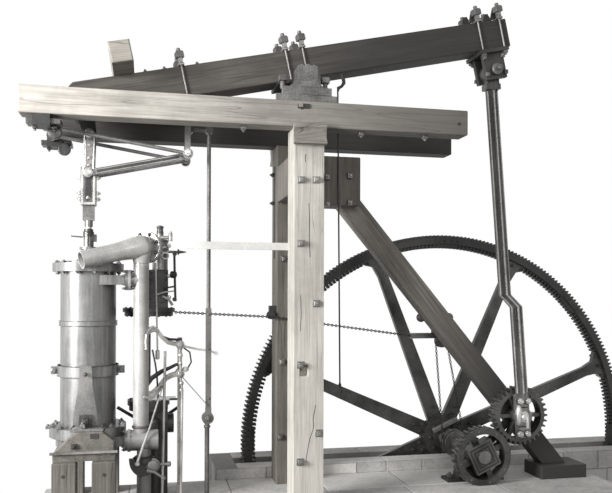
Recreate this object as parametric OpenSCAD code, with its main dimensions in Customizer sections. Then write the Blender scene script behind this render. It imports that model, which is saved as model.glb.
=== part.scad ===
// Rotative beam engine: timber frame, rocking beam, steam cylinder, sun and planet gear, toothed flywheel.
// Lengths are millimetres. X runs from the cylinder to the flywheel, Y from the near side to the far side.
// The origin lies on the ground under the middle of the beam.

/* [Masonry] */
// Height of the engine floor above the ground
floor_h = 2300; // [2250:10:2700]
// Left end of the bed
bed_left = 2540; // [2480:10:2700]
// Right end of the bed
bed_right = 3480; // [3450:10:3700]
// Front face of the bed, from the middle plane
bed_front = 700; // [680:10:900]
// Height of the kerb round the pit
kerb_h = 120; // [60:5:200]
// Thickness of the wall in front of the pit
pit_front_t = 235; // [150:5:250]
// Thickness of the wall behind the pit
pit_back_t = 300; // [240:10:400]
// Thickness of the two end walls of the pit
pit_end_t = 240; // [150:10:400]
// Room between the flywheel and the pit walls
pit_room = 90; // [60:5:150]

/* [Timber frame] */
// Side of a square post
post_w = 300; // [240:10:340]
// Gap between the two posts
post_gap = 620; // [560:10:700]
// Height of the posts
post_h = 3660; // [3500:10:3800]
// Depth of a spring beam
spring_d = 250; // [200:10:300]
// Width of a spring beam
spring_w = 220; // [180:10:280]
// Reach of the near spring beam to the left
spring_left = 2640; // [2560:10:2800]
// Reach of the near spring beam to the right
spring_right = 1640; // [1400:10:1900]
// Step of the far spring beam to the right of the near one
spring_step = 260; // [0:10:300]
// Height of the bolster on a post
bolster_h = 175; // [120:5:220]
// Step of the bolster in front of its post
bolster_step = 36; // [10:2:60]
// Side of the strut's head block
head_block = 500; // [420:10:560]
// Drop of the head block below the post top
head_drop = 180; // [120:10:300]
// Depth of the diagonal strut
strut_d = 225; // [180:5:260]
// Width of the diagonal strut across the engine
strut_w = 190; // [150:5:200]
// Near face of the strut, behind the middle plane
strut_near = 20; // [10:1:24]
// Middle of the strut's foot, right of the posts
strut_foot_x = 2990; // [2900:10:3080]
// Length of the sill under the strut
sill_l = 560; // [480:10:640]
// Height of the sill
sill_h = 150; // [100:5:200]

/* [Working beam] */
// Height of the gudgeon above the spring beams
gudgeon_rise = 280; // [250:5:380]
// Tilt of the beam, right end up
beam_tilt = 12.3; // [8:0.1:14]
// Distance from the gudgeon to the pin of the piston's links
beam_arm = 2140; // [2080:5:2200]
// Distance from the gudgeon to the connecting rod's pin
rod_arm = 2200; // [2120:5:2240]
// Depth of the beam
beam_d = 305; // [260:5:340]
// Width of the beam
beam_w = 300; // [260:5:320]
// Beam past the left pin
beam_left_over = 110; // [80:5:200]
// Beam past the right pin
beam_right_over = 220; // [180:5:320]
// Underside of the beam above the gudgeon's centre
beam_rise = 62; // [55:1:90]
// Drop of the links' pins below the gudgeon's centre line
pin_drop = 130; // [115:5:180]
// Drop of the connecting rod's pin below the gudgeon's centre line
rod_drop = 160; // [130:5:180]
// Side of the catch block
catch_w = 200; // [150:5:240]
// Catch block's distance from the main link's pin, along the beam
catch_in = 440; // [380:5:540]
// Diameter of the gudgeon
gudgeon_dia = 110; // [90:5:120]
// Diameter of the pins at the beam's ends and in the links
pin_dia = 60; // [50:2:70]

/* [Motion] */
// Drop of the suspension links
link_drop = 385; // [340:5:420]
// Distance from the gudgeon to the back link's pin
back_arm = 1170; // [1100:5:1250]
// Width of a link
link_w = 95; // [80:5:110]
// Thickness of a link
link_t = 30; // [24:2:36]
// Reach of a radius rod
radius_reach = 1320; // [1250:5:1350]
// Distance of the radius rods from the middle plane
radius_y = 220; // [190:5:240]
// Diameter of a radius rod
radius_dia = 36; // [28:2:44]

/* [Cylinder] */
// Outer diameter of the cylinder
cyl_dia = 524; // [480:4:560]
// Height of the cylinder's foot above the floor
cyl_foot_z = 590; // [560:5:640]
// Height of the cylinder's top above the floor
cyl_top_z = 2310; // [2250:5:2330]
// Thickness of a cylinder flange
flange_t = 42; // [30:1:50]
// Step of the top flange round the cylinder
flange_step = 74; // [60:1:90]
// Diameter of the piston rod
rod_dia = 57; // [46:1:70]
// Thickness of the cradle's deck
deck_t = 72; // [50:2:90]
// Side of a cradle leg
leg_w = 210; // [160:5:240]
// Height of a saddle timber
saddle_h = 195; // [150:5:230]
// Depth of a saddle timber
saddle_t = 130; // [90:5:150]

/* [Steam work] */
// Outer diameter of the stand pipe
stand_dia = 148; // [120:2:170]
// Stand pipe's centre right of the cylinder
stand_dx = 505; // [490:1:560]
// Stand pipe's centre before the middle plane
stand_y = 200; // [180:5:230]
// Outer diameter of the steam pipe
steam_dia = 168; // [140:2:190]
// Wall of the steam pipe
steam_wall = 12; // [6:1:20]
// Width of a valve chest
chest_w = 210; // [180:5:230]
// Height of the lower valve chest
chest_low_h = 330; // [260:5:360]
// Height of the upper valve chest
chest_up_h = 390; // [300:5:420]
// Diameter of the plug rod
plug_dia = 40; // [30:2:50]

/* [Gear and flywheel] */
// Place of the crankshaft right of the posts
shaft_x = 2030; // [1980:5:2080]
// Height of the crankshaft above the floor
shaft_z = 310; // [300:5:340]
// Diameter of the crankshaft
shaft_dia = 140; // [120:5:160]
// Pitch radius of the sun wheel and of the planet wheel
pitch_r = 305; // [290:1:315]
// Teeth on each of the two wheels
wheel_teeth = 32; // [28:2:36]
// Height of a tooth above the pitch circle
tooth_up = 15; // [10:1:18]
// Depth of a tooth below the pitch circle
tooth_down = 21; // [18:1:26]
// Width of the two wheels
wheel_w = 130; // [100:5:140]
// Near face of the two wheels, before the middle plane
wheel_near = 180; // [170:5:200]
// Place of the planet wheel round the sun wheel
orbit_angle = 44.5; // [40:0.5:60]
// Outer radius of the flywheel at the tooth tips
fly_r = 2470; // [2300:5:2500]
// Teeth of the flywheel
fly_teeth = 304; // [240:8:320]
// Height of a flywheel tooth
fly_tooth_h = 34; // [24:1:44]
// Depth of the flywheel rim below the teeth
rim_d = 76; // [60:2:100]
// Width of the flywheel rim
rim_w = 150; // [120:5:180]
// Middle plane of the flywheel
fly_y = 1000; // [990:5:1040]
// First arm's angle
arm_phase = 21; // [0:1:44]
// Thickness of an arm
arm_t = 62; // [40:2:80]

/* [Fits] */
// Gap between round faces that seat in each other
fit_gap = 0.3; // [0.2:0.05:0.5]
// Width of the connecting rod's flange
conrod_w = 130; // [100:5:140]
// Thickness of the connecting rod's ribs
conrod_rib = 42; // [30:2:50]

/* [Hidden] */
$fn = 64;

// Frame of the posts and beams
post_in = post_gap / 2;
post_out = post_in + post_w;
spring_in = post_out - spring_w;
spring_top = post_h + spring_d;
gudgeon_z = spring_top + gudgeon_rise;

// Masonry planes
fly_half = rim_w / 2;
pit_near = fly_y - fly_half - 60;
pit_far = fly_y + fly_half + 60;
wall_near = pit_near - pit_front_t;
wall_far = pit_far + pit_back_t;
pit_left = shaft_x - fly_r - pit_room;
pit_right = shaft_x + fly_r + pit_room;

// A point of the tilted beam, in the plane of the engine
function on_beam(along, up) = [
    along * cos(beam_tilt) - up * sin(beam_tilt),
    gudgeon_z + along * sin(beam_tilt) + up * cos(beam_tilt)
];
beam_top = beam_rise + beam_d;
pin_a = on_beam(-beam_arm, -pin_drop);
pin_b = on_beam(-back_arm, -pin_drop);
pin_c = [pin_b[0] - 12, pin_b[1] - link_drop];
pin_d = pin_a + (pin_c - pin_b);
pin_o = [pin_c[0] - radius_reach, pin_c[1] + 205];
pin_r = on_beam(rod_arm, -rod_drop);
planet = [shaft_x + 2 * pitch_r * cos(orbit_angle), shaft_z + 2 * pitch_r * sin(orbit_angle)];
cyl_x = pin_d[0];
cyl_r = cyl_dia / 2;
stand_x = cyl_x + stand_dx;

// Layers of the links, from the middle plane outwards
block_half = 50;
link_in = block_half + 8;
bar_in = link_in + link_t + 6;
bar_t = 26;

// The strut's slope and its ends
strut_top = [post_w / 2 + 335, post_h - head_drop - 340];
strut_run = strut_foot_x - strut_top[0];
strut_fall = strut_top[1] - sill_h;
strut_slope = atan2(strut_fall, strut_run);

// Raises what stands on the engine floor
module above_floor() {
    translate([0, 0, floor_h]) children();
}

// A flat shape drawn in X and Z, given its thickness from y0 to y1
module across(y0, y1) {
    translate([0, y1, 0]) rotate([90, 0, 0]) linear_extrude(y1 - y0) children();
}

// A copy on each side of the middle plane
module both_sides() {
    children();
    mirror([0, 1, 0]) children();
}

// A round bar between two points
module round_bar(a, b, dia) {
    v = b - a;
    len = norm(v);
    translate(a) rotate([0, acos(v[2] / len), atan2(v[1], v[0])]) cylinder(d = dia, h = len);
}

// A pin along Y through a point of the engine's plane
module cross_pin(at, dia, y0, y1) {
    translate([at[0], y1, at[1]]) rotate([90, 0, 0]) cylinder(d = dia, h = y1 - y0);
}

// Places the working beam's own shapes: along the beam, across it and up from the gudgeon
module in_beam() {
    above_floor() translate([0, 0, gudgeon_z]) rotate([0, -beam_tilt, 0]) children();
}

// A flat bar with round ends, bored at both, between two points of the engine's plane
module link_bar(a, b, w, bore, y0, y1) {
    slope = atan2(b[1] - a[1], b[0] - a[0]);
    run = norm(b - a);
    across(y0, y1) translate(a) rotate(slope) difference() {
        union() {
            translate([0, -w * 0.36]) square([run, w * 0.72]);
            circle(d = w);
            translate([run, 0]) circle(d = w);
        }
        circle(d = bore);
        translate([run, 0]) circle(d = bore);
    }
}

// Turned ball of flat-sided rings
module ball(r) {
    rotate_extrude()
        polygon([for (k = [0 : 12]) [r * cos(15 * k - 90), r * sin(15 * k - 90)]]);
}

// Outline of a toothed wheel, from angle a0 over a number of teeth
function tooth_points(count, of_teeth, a0, root, tip) = [
    for (i = [0 : count - 1], p = [[0.24, root], [0.36, tip], [0.64, tip], [0.76, root]])
        let (a = a0 + (i + p[0]) * 360 / of_teeth)
            [p[1] * cos(a), p[1] * sin(a)]
];

module engine_bed() {
    color("lightslategray") translate([-bed_left, -bed_front, 0])
        cube([bed_left + bed_right, bed_front + wall_near, floor_h]);
}

module pit_front_wall() {
    color("slategray") translate([pit_left, wall_near, 0])
        cube([pit_right - pit_left, pit_front_t, floor_h + kerb_h]);
}

module pit_back_wall() {
    color("slategray") translate([pit_left, pit_far, 0])
        cube([pit_right - pit_left, pit_back_t, floor_h + kerb_h]);
}

// End walls stand outside the pit and tie its two long walls together
module pit_end_wall(x0) {
    color("slategray") translate([x0, wall_near, 0])
        cube([pit_end_t, wall_far - wall_near, floor_h + kerb_h]);
}

module pit_end_wall_left() {
    pit_end_wall(pit_left - pit_end_t);
}

module pit_end_wall_right() {
    pit_end_wall(pit_right);
}

module near_post() {
    mortise_z = 1270;
    color("tan") above_floor() difference() {
        translate([-post_w / 2, -post_out, 0]) cube([post_w, post_w, post_h]);
        translate([-82, -post_out - 1, mortise_z]) cube([75, 60, 105]);
    }
}

module far_post() {
    color("peru") above_floor() translate([-post_w / 2, post_in, 0]) cube([post_w, post_w, post_h]);
}

// A chamfered block let in under the outer edge of each spring beam
module post_bolsters() {
    half = post_w / 2 + 8;
    color("tan") above_floor() both_sides() translate([0, -post_out, post_h - bolster_h]) rotate([90, 0, 0])
        linear_extrude(bolster_step) polygon([
            [-half + 14, 0], [half - 14, 0], [half, 14], [half, bolster_h + 16],
            [-half, bolster_h + 16], [-half, 14]
        ]);
}

module spring_beam(x0, x1, y0) {
    above_floor() translate([x0, y0, post_h]) cube([x1 - x0, spring_w, spring_d]);
}

module near_spring_beam() {
    color("burlywood") spring_beam(-spring_left, spring_right, -post_out);
}

module far_spring_beam() {
    color("saddlebrown") spring_beam(-spring_left + spring_step, spring_right + spring_step, spring_in);
}

module strut_head_block() {
    color("saddlebrown") above_floor() difference() {
        union() {
            translate([post_w / 2, -150, post_h - head_drop - head_block]) cube([head_block, 380, head_block]);
            translate([-post_w / 2, -post_in, post_h - head_drop - head_block + 60])
                cube([post_w, post_gap, head_block - 120]);
        }
        strut_body(0);
    }
}

// The strut's bar, housed in the head block and standing on the sill
module strut_body(grow) {
    len = norm([strut_run, strut_fall]);
    intersection() {
        translate([strut_foot_x, strut_near - grow, sill_h]) rotate([0, strut_slope, 0])
            translate([-len - 260, 0, -strut_d / 2]) cube([len + 700, strut_w + 2 * grow, strut_d]);
        translate([strut_top[0] - 150, -500, sill_h]) cube([4000, 1000, post_h]);
    }
}

module diagonal_strut() {
    color("sienna") above_floor() strut_body(0);
}

module strut_sill() {
    color("sienna") above_floor() translate([strut_foot_x - sill_l / 2 + 60, -90, 0])
        cube([sill_l, strut_near + strut_w + 180, sill_h]);
}

module working_beam() {
    left = beam_arm + beam_left_over;
    right = rod_arm + beam_right_over;
    color("saddlebrown") in_beam() across(-beam_w / 2, beam_w / 2) polygon([
        [-left, beam_rise], [right, beam_rise], [right, beam_top], [-left + 60, beam_top],
        [-left, beam_top - 45]
    ]);
}

// Plates under the beam reach out to take the bolts of the straps over it
bolt_side = beam_w / 2 + 14;
plate_half = bolt_side + 26;

// One iron strap over the beam, with its two bolts down the sides to a plate below
module beam_strap(along, w, head) {
    plate = 16;
    translate([along - w / 2, -plate_half, beam_top]) cube([w, 2 * plate_half, plate]);
    for (y = [-bolt_side, bolt_side]) {
        translate([along, y, beam_rise]) cylinder(d = 20, h = beam_d + plate + 90);
        translate([along - 22, y - 22, beam_top + plate]) cube([44, 44, head]);
    }
}

module beam_bands() {
    color("dimgray") in_beam() {
        for (along = [-back_arm + 30, -75, 105, rod_arm - 120, rod_arm + 135])
            beam_strap(along, 60, 55);
    }
}

module catch_block() {
    color("burlywood") in_beam() translate([catch_in - beam_arm - catch_w / 2, -post_out + 60, beam_top])
        cube([catch_w, 2 * post_out - 120, catch_w]);
}

// Saddle plate under the beam with the gudgeon that runs in the two bearings
module gudgeon() {
    reach = spring_in + 70;
    color("dimgray") in_beam() {
        translate([-230, -plate_half, beam_rise - 30]) cube([460, 2 * plate_half, 30]);
        translate([-75, -beam_w / 2 + 10, -30]) cube([150, beam_w - 20, beam_rise]);
        cross_pin([0, 0], gudgeon_dia, -reach, reach);
    }
}

// A pedestal bearing on each spring beam
module gudgeon_bearings() {
    seat = gudgeon_z - spring_top;
    inner = spring_in - 10;
    outer = spring_in + 150;
    color("dimgray") above_floor() both_sides() translate([0, 0, spring_top]) difference() {
        union() {
            translate([0, -outer - 10, 0]) translate([-300, 0, 0]) cube([600, outer - inner + 10, 38]);
            translate([-255, -outer, 38]) cube([510, outer - inner, 40]);
            across(-outer, -inner) polygon([
                [-150, 78], [150, 78], [105, seat + 60], [90, seat + 78], [-90, seat + 78], [-105, seat + 60]
            ]);
        }
        cross_pin([0, seat], gudgeon_dia + 2 * fit_gap, -outer - 1, -spring_in + 20);
    }
}

// Brackets under the beam that hold the pins of the suspension links
module beam_pin_brackets() {
    half = block_half;
    color("dimgray") in_beam() for (along = [-beam_arm, -back_arm]) {
        translate([along - 110, -plate_half, beam_rise - 26]) cube([220, 2 * plate_half, 26]);
        across(-half, half) polygon([
            [along - 80, beam_rise - 26], [along + 80, beam_rise - 26], [along + 55, -pin_drop - 40],
            [along - 55, -pin_drop - 40]
        ]);
        cross_pin([along, -pin_drop], pin_dia, -link_in - link_t - 12, link_in + link_t + 12);
    }
}

// The casting under the right end of the beam, with the connecting rod's pin
module rod_end_bearing() {
    low = -rod_drop - 95;
    color("dimgray") in_beam() {
        translate([rod_arm - 160, -plate_half, beam_rise - 40]) cube([330, 2 * plate_half, 40]);
        both_sides() translate([rod_arm - 120, -beam_w / 2 + 20, low])
            cube([240, 55, beam_rise - 40 - low]);
        cross_pin([rod_arm, -rod_drop], pin_dia + 20, -beam_w / 2 - 10, beam_w / 2 + 10);
    }
}

// The connecting rod's own frame: up its length from the planet's centre
conrod_len = norm(pin_r - planet);
conrod_lean = atan2(pin_r[0] - planet[0], pin_r[1] - planet[1]);
conrod_y = -wheel_near - 50;
knee_z = 1190;
knee_h = 130;
palm_t = 46;

module cranked(half_y, half_x, z0, z1) {
    rotate([0, 0, 90]) rotate([90, 0, 0]) translate([0, 0, -half_x]) linear_extrude(2 * half_x) polygon([
        [conrod_y - half_y, z0], [conrod_y + half_y, z0], [conrod_y + half_y, knee_z],
        [half_y, knee_z + knee_h], [half_y, z1], [-half_y, z1], [-half_y, knee_z + knee_h],
        [conrod_y - half_y, knee_z]
    ]);
}

module connecting_rod() {
    color("gray") above_floor() translate([planet[0], 0, planet[1]]) rotate([0, conrod_lean, 0]) {
        difference() {
            union() {
                cranked(conrod_rib / 2, conrod_w / 2, 150, conrod_len - 150);
                cranked(conrod_w * 0.42, conrod_rib / 2, 190, conrod_len - 150);
                translate([-85, -60, conrod_len - 190]) cube([170, 120, 60]);
                cross_pin([0, conrod_len], 210, -60, 60);
                translate([-70, -60, conrod_len - 150]) cube([140, 120, 150]);
            }
            cross_pin([0, conrod_len], pin_dia + 20 + 2 * fit_gap, -61, 61);
        }
        translate([-80, -wheel_near - palm_t - 6, -230]) cube([160, palm_t, 460]);
        cross_pin([0, 0], 190, -wheel_near - palm_t - 30, -wheel_near - 6);
    }
}

// A toothed ring of the sun and planet pair, with its teeth set at an angle
module wheel_ring(phase, bore) {
    across(-wheel_near, -wheel_near + wheel_w) difference() {
        polygon(tooth_points(wheel_teeth, wheel_teeth, phase, pitch_r - tooth_down, pitch_r + tooth_up));
        circle(r = bore);
    }
}

module planet_wheel() {
    hub_r = 92;
    inner = pitch_r - tooth_down - 42;
    mesh = orbit_angle + 180 - 180 / wheel_teeth;
    color("dimgray") above_floor() translate([planet[0], 0, planet[1]]) {
        wheel_ring(mesh, inner);
        across(-wheel_near + 25, -wheel_near + wheel_w - 25) for (k = [0 : 5])
            rotate(k * 60) translate([0, -20]) square([inner + 4, 40]);
        cross_pin([0, 0], 2 * hub_r, -wheel_near - 6, -wheel_near + wheel_w);
        cross_pin([0, 0], 70, -wheel_near + wheel_w, -12);
    }
}

// Keeps the planet wheel's centre at its distance from the shaft
module orbit_link() {
    back = -wheel_near + wheel_w;
    hub = [shaft_x, shaft_z];
    color("dimgray") above_floor() across(back + 6, back + 32) difference() {
        union() {
            translate(hub) rotate(orbit_angle) translate([0, -45]) square([2 * pitch_r, 90]);
            translate(hub) circle(d = shaft_dia + 70);
            translate(planet) circle(d = 130);
        }
        translate(hub) circle(d = shaft_dia + 2 * fit_gap);
        translate(planet) circle(d = 70 + 2 * fit_gap);
    }
}

module sun_wheel() {
    inner = pitch_r - tooth_down - 36;
    mesh = orbit_angle;
    plate = 300;
    color("dimgray") above_floor() translate([shaft_x, 0, shaft_z]) difference() {
        union() {
            wheel_ring(mesh - 180 / wheel_teeth, inner);
            across(-wheel_near - 18, -wheel_near) difference() {
                circle(r = pitch_r + 6);
                circle(r = inner - 4);
            }
            rotate([0, -25, 0]) {
                across(-wheel_near - 10, -wheel_near + wheel_w) translate([-plate / 2, -plate / 2]) square(plate);
                across(-wheel_near + 40, -wheel_near + wheel_w - 20) for (k = [0 : 3])
                    rotate(k * 90) translate([0, -30]) square([inner + 4, 60]);
            }
        }
        cross_pin([0, 0], shaft_dia + 2 * fit_gap, -wheel_near - 30, -wheel_near + wheel_w + 1);
    }
}

// Shaft with the grooved pulley that drives the governor
pulley_y = 600;
pulley_r = 155;
module crankshaft() {
    end_y = pit_far + pit_back_t - 20;
    color("gray") above_floor() translate([shaft_x, 0, shaft_z]) {
        cross_pin([0, 0], shaft_dia, -wheel_near - 34, end_y);
        cross_pin([0, 0], 2 * pulley_r, pulley_y - 34, pulley_y - 14);
        cross_pin([0, 0], 2 * pulley_r - 50, pulley_y - 14, pulley_y + 14);
        cross_pin([0, 0], 2 * pulley_r, pulley_y + 14, pulley_y + 34);
    }
}

// One plummer block with its sole plate; h is the shaft's height above its seat
module plummer_block(y0, y1, h) {
    difference() {
        union() {
            translate([-330, y0 - 10, 0]) cube([660, y1 - y0 + 20, 36]);
            across(y0, y1) polygon([
                [-200, 36], [200, 36], [130, h - 40], [130, h + 30], [95, h + 108], [-95, h + 108],
                [-130, h + 30], [-130, h - 40]
            ]);
        }
        cross_pin([0, h], shaft_dia + 2 * fit_gap, y0 - 20, y1 + 20);
    }
}

module shaft_bearings() {
    color("dimgray") above_floor() {
        translate([shaft_x, 0, 0]) plummer_block(10, 190, shaft_z);
        translate([shaft_x, 0, kerb_h]) plummer_block(pit_far + 30, pit_far + 210, shaft_z - kerb_h);
    }
}

hub_flat = 232;
rim_inner = fly_r - fly_tooth_h - rim_d;

module flywheel_hub() {
    color("dimgray") above_floor() translate([shaft_x, 0, shaft_z]) difference() {
        union() {
            rotate([0, -arm_phase, 0]) across(fly_y - 80, fly_y + 80) rotate(22.5)
                circle(r = hub_flat / cos(22.5), $fn = 8);
            cross_pin([0, 0], 280, fly_y - 115, fly_y + 115);
        }
        cross_pin([0, 0], shaft_dia + 2 * fit_gap, fly_y - 120, fly_y + 120);
    }
}

// Eight arms, each flat against the hub and flared to a head inside the rim
module flywheel_arms() {
    color("dimgray") above_floor() translate([shaft_x, 0, shaft_z]) intersection() {
        across(fly_y - arm_t / 2, fly_y + arm_t / 2) for (k = [0 : 7])
            rotate(arm_phase + 45 * k) polygon([
                [hub_flat, -92], [hub_flat + 60, -92], [rim_inner - 250, -60], [rim_inner - 110, -85],
                [rim_inner - 40, -190], [rim_inner + 20, -190], [rim_inner + 20, 190], [rim_inner - 40, 190],
                [rim_inner - 110, 85], [rim_inner - 250, 60], [hub_flat + 60, 92], [hub_flat, 92]
            ]);
        cross_pin([0, 0], 2 * (rim_inner - fit_gap), fly_y - arm_t, fly_y + arm_t, $fn = 1440);
    }
}

// A quarter of the rim, with its teeth outside
module rim_quarter(k) {
    start = arm_phase + 22.5 + 90 * k;
    color("dimgray") above_floor() translate([shaft_x, 0, shaft_z]) difference() {
        across(fly_y - fly_half, fly_y + fly_half) polygon(concat(
            [[0, 0], [(fly_r - fly_tooth_h) * cos(start), (fly_r - fly_tooth_h) * sin(start)]],
            tooth_points(fly_teeth / 4, fly_teeth, start, fly_r - fly_tooth_h, fly_r),
            [[(fly_r - fly_tooth_h) * cos(start + 90), (fly_r - fly_tooth_h) * sin(start + 90)]]
        ));
        cross_pin([0, 0], 2 * rim_inner, fly_y - rim_w, fly_y + rim_w, $fn = 1440);
    }
}

module rim_quarter_1() {
    rim_quarter(0);
}

module rim_quarter_2() {
    rim_quarter(1);
}

module rim_quarter_3() {
    rim_quarter(2);
}

module rim_quarter_4() {
    rim_quarter(3);
}

// Two pairs of links that hang from the beam's brackets
module suspension_links() {
    color("silver") above_floor() both_sides() {
        link_bar(pin_a, pin_d, link_w, pin_dia + 2 * fit_gap, -link_in - link_t, -link_in);
        link_bar(pin_b, pin_c, link_w * 0.8, pin_dia + 2 * fit_gap, -link_in - link_t, -link_in);
    }
}

module parallel_bars() {
    color("gray") above_floor() both_sides()
        link_bar(pin_d, pin_c, 84, pin_dia + 2 * fit_gap, -bar_in - bar_t, -bar_in);
}

// Round radius rods with bored eyes, and the long pin that joins them to the bars
module radius_rods() {
    eye = 44;
    slope = atan2(pin_c[1] - pin_o[1], pin_c[0] - pin_o[0]);
    dir = [cos(slope), sin(slope)];
    color("silver") above_floor() {
        cross_pin(pin_c, pin_dia, -radius_y - eye / 2, radius_y + eye / 2);
        both_sides() difference() {
            union() {
                cross_pin(pin_c, 100, -radius_y - eye / 2, -radius_y + eye / 2);
                cross_pin(pin_o, 100, -radius_y - eye / 2, -radius_y + eye / 2);
                round_bar([pin_o[0] + 40 * dir[0], -radius_y, pin_o[1] + 40 * dir[1]],
                    [pin_c[0] - 40 * dir[0], -radius_y, pin_c[1] - 40 * dir[1]], radius_dia);
            }
            cross_pin(pin_o, pin_dia + 2 * fit_gap, -radius_y - eye, -radius_y + eye);
        }
    }
}

// Blocks under the spring beams with the fixed pins of the radius rods
module radius_brackets() {
    color("dimgray") above_floor() both_sides() {
        translate([pin_o[0] - 70, -post_out + 10, pin_o[1] - 75]) cube([150, spring_w - 20, post_h - pin_o[1] + 75]);
        cross_pin(pin_o, pin_dia, -post_out + 20, -radius_y + 30);
    }
}

// Strapped head of the piston rod, with the crosshead pin, gib and cotter
head_room = pin_d[1] - cyl_top_z;
head_foot = pin_d[1] - 0.56 * head_room;
head_box = 145;
module piston_rod_head() {
    reach = bar_in + bar_t + 14;
    neck_h = 0.066 * head_room;
    strap_z = 0.23 * head_room;
    slot_z = 0.274 * head_room;
    color("silver") above_floor() {
        translate([0, 0, head_foot]) difference() {
            translate([cyl_x - head_box / 2, -block_half, strap_z])
                cube([head_box, 2 * block_half, 0.56 * head_room + head_box / 2 - 8 - strap_z]);
            translate([cyl_x - head_box / 2 - 1, -18, slot_z]) cube([36, 36, 0.13 * head_room]);
        }
        translate([cyl_x - head_box / 2 - 30, -14, head_foot + slot_z + 12]) cube([head_box + 60, 28, 26]);
        translate([cyl_x - 55, -40, head_foot + neck_h]) cube([110, 80, strap_z - neck_h]);
        translate([cyl_x, 0, head_foot]) cylinder(d = 78, h = neck_h, $fn = 48);
        cross_pin(pin_d, pin_dia, -reach, reach);
    }
}

module piston_rod() {
    color("gainsboro") above_floor() translate([cyl_x, 0, cyl_top_z]) cylinder(d = rod_dia, h = head_foot - cyl_top_z);
}

// Height and reach of the upper and lower steam ports
port_up_z = cyl_top_z - flange_t - 80;
port_low_z = cyl_foot_z + 50;
port_half = 46;
port_r = 98;
port_plate = 26;
port_end = cyl_x + stand_dx - stand_dia / 2 - 50;
port_root = 120;

module steam_cylinder() {
    hoop_z = 1260;
    hoop_r = cyl_r + 26;
    band_z = 1750;
    lug = 68;
    foot_ring = 90;
    color("lightslategray") above_floor() translate([cyl_x, 0, 0]) {
        translate([0, 0, cyl_foot_z]) cylinder(r = cyl_r, h = cyl_top_z - cyl_foot_z);
        translate([0, 0, cyl_foot_z]) cylinder(r = cyl_r + 40, h = foot_ring);
        translate([0, 0, cyl_foot_z + foot_ring]) cylinder(r = cyl_r + 100, h = 100);
        translate([0, 0, cyl_top_z - flange_t]) cylinder(r = cyl_r + flange_step, h = flange_t);
        translate([0, 0, band_z]) cylinder(r = cyl_r + 12, h = 42);
        translate([0, 0, hoop_z]) cylinder(r = hoop_r, h = 105);
        for (s = [-1, 1])
            translate([s * (hoop_r + 24) - lug / 2, -26, hoop_z + 16]) cube([lug, 52, 72]);
    }
    color("lightslategray") above_floor() for (z = [port_up_z, port_low_z]) {
        translate([cyl_x + port_root, -stand_y - port_half, z - port_half])
            cube([port_end - cyl_x - port_root - port_plate, 2 * port_half, 2 * port_half]);
        translate([port_end - port_plate, -stand_y, z]) rotate([0, 90, 0]) cylinder(r = port_r, h = port_plate);
    }
}

module cylinder_cover() {
    bore = rod_dia + 2 * fit_gap;
    box_h = 0.1 * head_room;
    neck_h = 0.11 * head_room;
    color("lightsteelblue") above_floor() translate([cyl_x, 0, cyl_top_z]) difference() {
        union() {
            cylinder(r = cyl_r + flange_step, h = 38);
            translate([0, 0, 38]) cylinder(r = cyl_r - 30, h = 22);
            translate([0, 0, 60]) cylinder(r = 92, h = 26);
            translate([0, 0, 86]) cylinder(r = 72, h = box_h);
            translate([0, 0, 86 + box_h]) cylinder(r = 86, h = 24);
            translate([0, 0, 110 + box_h]) cylinder(r = 48, h = neck_h);
        }
        translate([0, 0, -1]) cylinder(d = bore, h = 112 + box_h + neck_h);
    }
}

// Flared brackets from the hoop down to the foot flange, front and back
module hold_down_brackets() {
    seat_z = cyl_foot_z + 190;
    near = cyl_r + 26 + fit_gap;
    color("slategray") above_floor() both_sides() translate([cyl_x, 0, 0]) {
        across(-near - 30, -near) polygon([
            [-115, seat_z], [115, seat_z], [108, seat_z + 130], [62, seat_z + 420], [52, 1380], [-52, 1380],
            [-62, seat_z + 420], [-108, seat_z + 130]
        ]);
    }
}

deck_half = 470;
leg_step = 60;
cradle_half_x = 280;
module cradle_deck() {
    color("rosybrown") above_floor() translate([cyl_x - cradle_half_x, -deck_half, cyl_foot_z - deck_t])
        cube([2 * cradle_half_x, 2 * deck_half, deck_t]);
}

module cradle_saddles() {
    half = cradle_half_x - 15;
    near = cyl_r + 100 + 4;
    color("rosybrown") above_floor() both_sides() translate([cyl_x, 0, cyl_foot_z])
        across(-deck_half, -max(near, deck_half - saddle_t)) polygon([
            [-half, 0], [half, 0], [half, saddle_h * 0.55], [half - 110, saddle_h],
            [-half + 190, saddle_h], [-half, saddle_h * 0.12]
        ]);
}

module cradle_legs() {
    leg_h = cyl_foot_z - deck_t;
    color("rosybrown") above_floor() for (sx = [-1, 1], sy = [-1, 1])
        translate([cyl_x + sx * (cradle_half_x - leg_w / 2) - leg_w / 2, sy * (deck_half + leg_step - leg_w / 2) - leg_w / 2, 0])
            cube([leg_w, leg_w, leg_h]);
}

// Steam pipe from its cut end before the cover to the elbow over the stand pipe
stand_top = cyl_top_z + 15;
elbow_r = 112;
elbow = [stand_x, -stand_y - 30, cyl_top_z + 200];
steam_left = [cyl_x - 35, -cyl_r - flange_step - steam_dia / 2 - 26, cyl_top_z + 56];
// The elbow's flange faces the throttle body, away from the near side
flange_way = [0.43, 0.903, 0];
flange_r = 155;
flange_plate = 34;
throttle_at = elbow + 430 * flange_way;

module steam_pipe() {
    u = (elbow - steam_left) / norm(elbow - steam_left);
    color("whitesmoke") above_floor() difference() {
        union() {
            round_bar(steam_left, elbow, steam_dia);
            translate(elbow) rotate(110) ball(elbow_r);
            round_bar(elbow, elbow + (70 + flange_plate) * flange_way, steam_dia);
            round_bar(elbow + 70 * flange_way, elbow + (70 + flange_plate) * flange_way, 2 * flange_r);
            translate([stand_x, -stand_y, stand_top]) cylinder(d = stand_dia, h = elbow[2] - stand_top);
        }
        round_bar(steam_left - 5 * u, elbow - 140 * u, steam_dia - 2 * steam_wall);
    }
}

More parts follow.
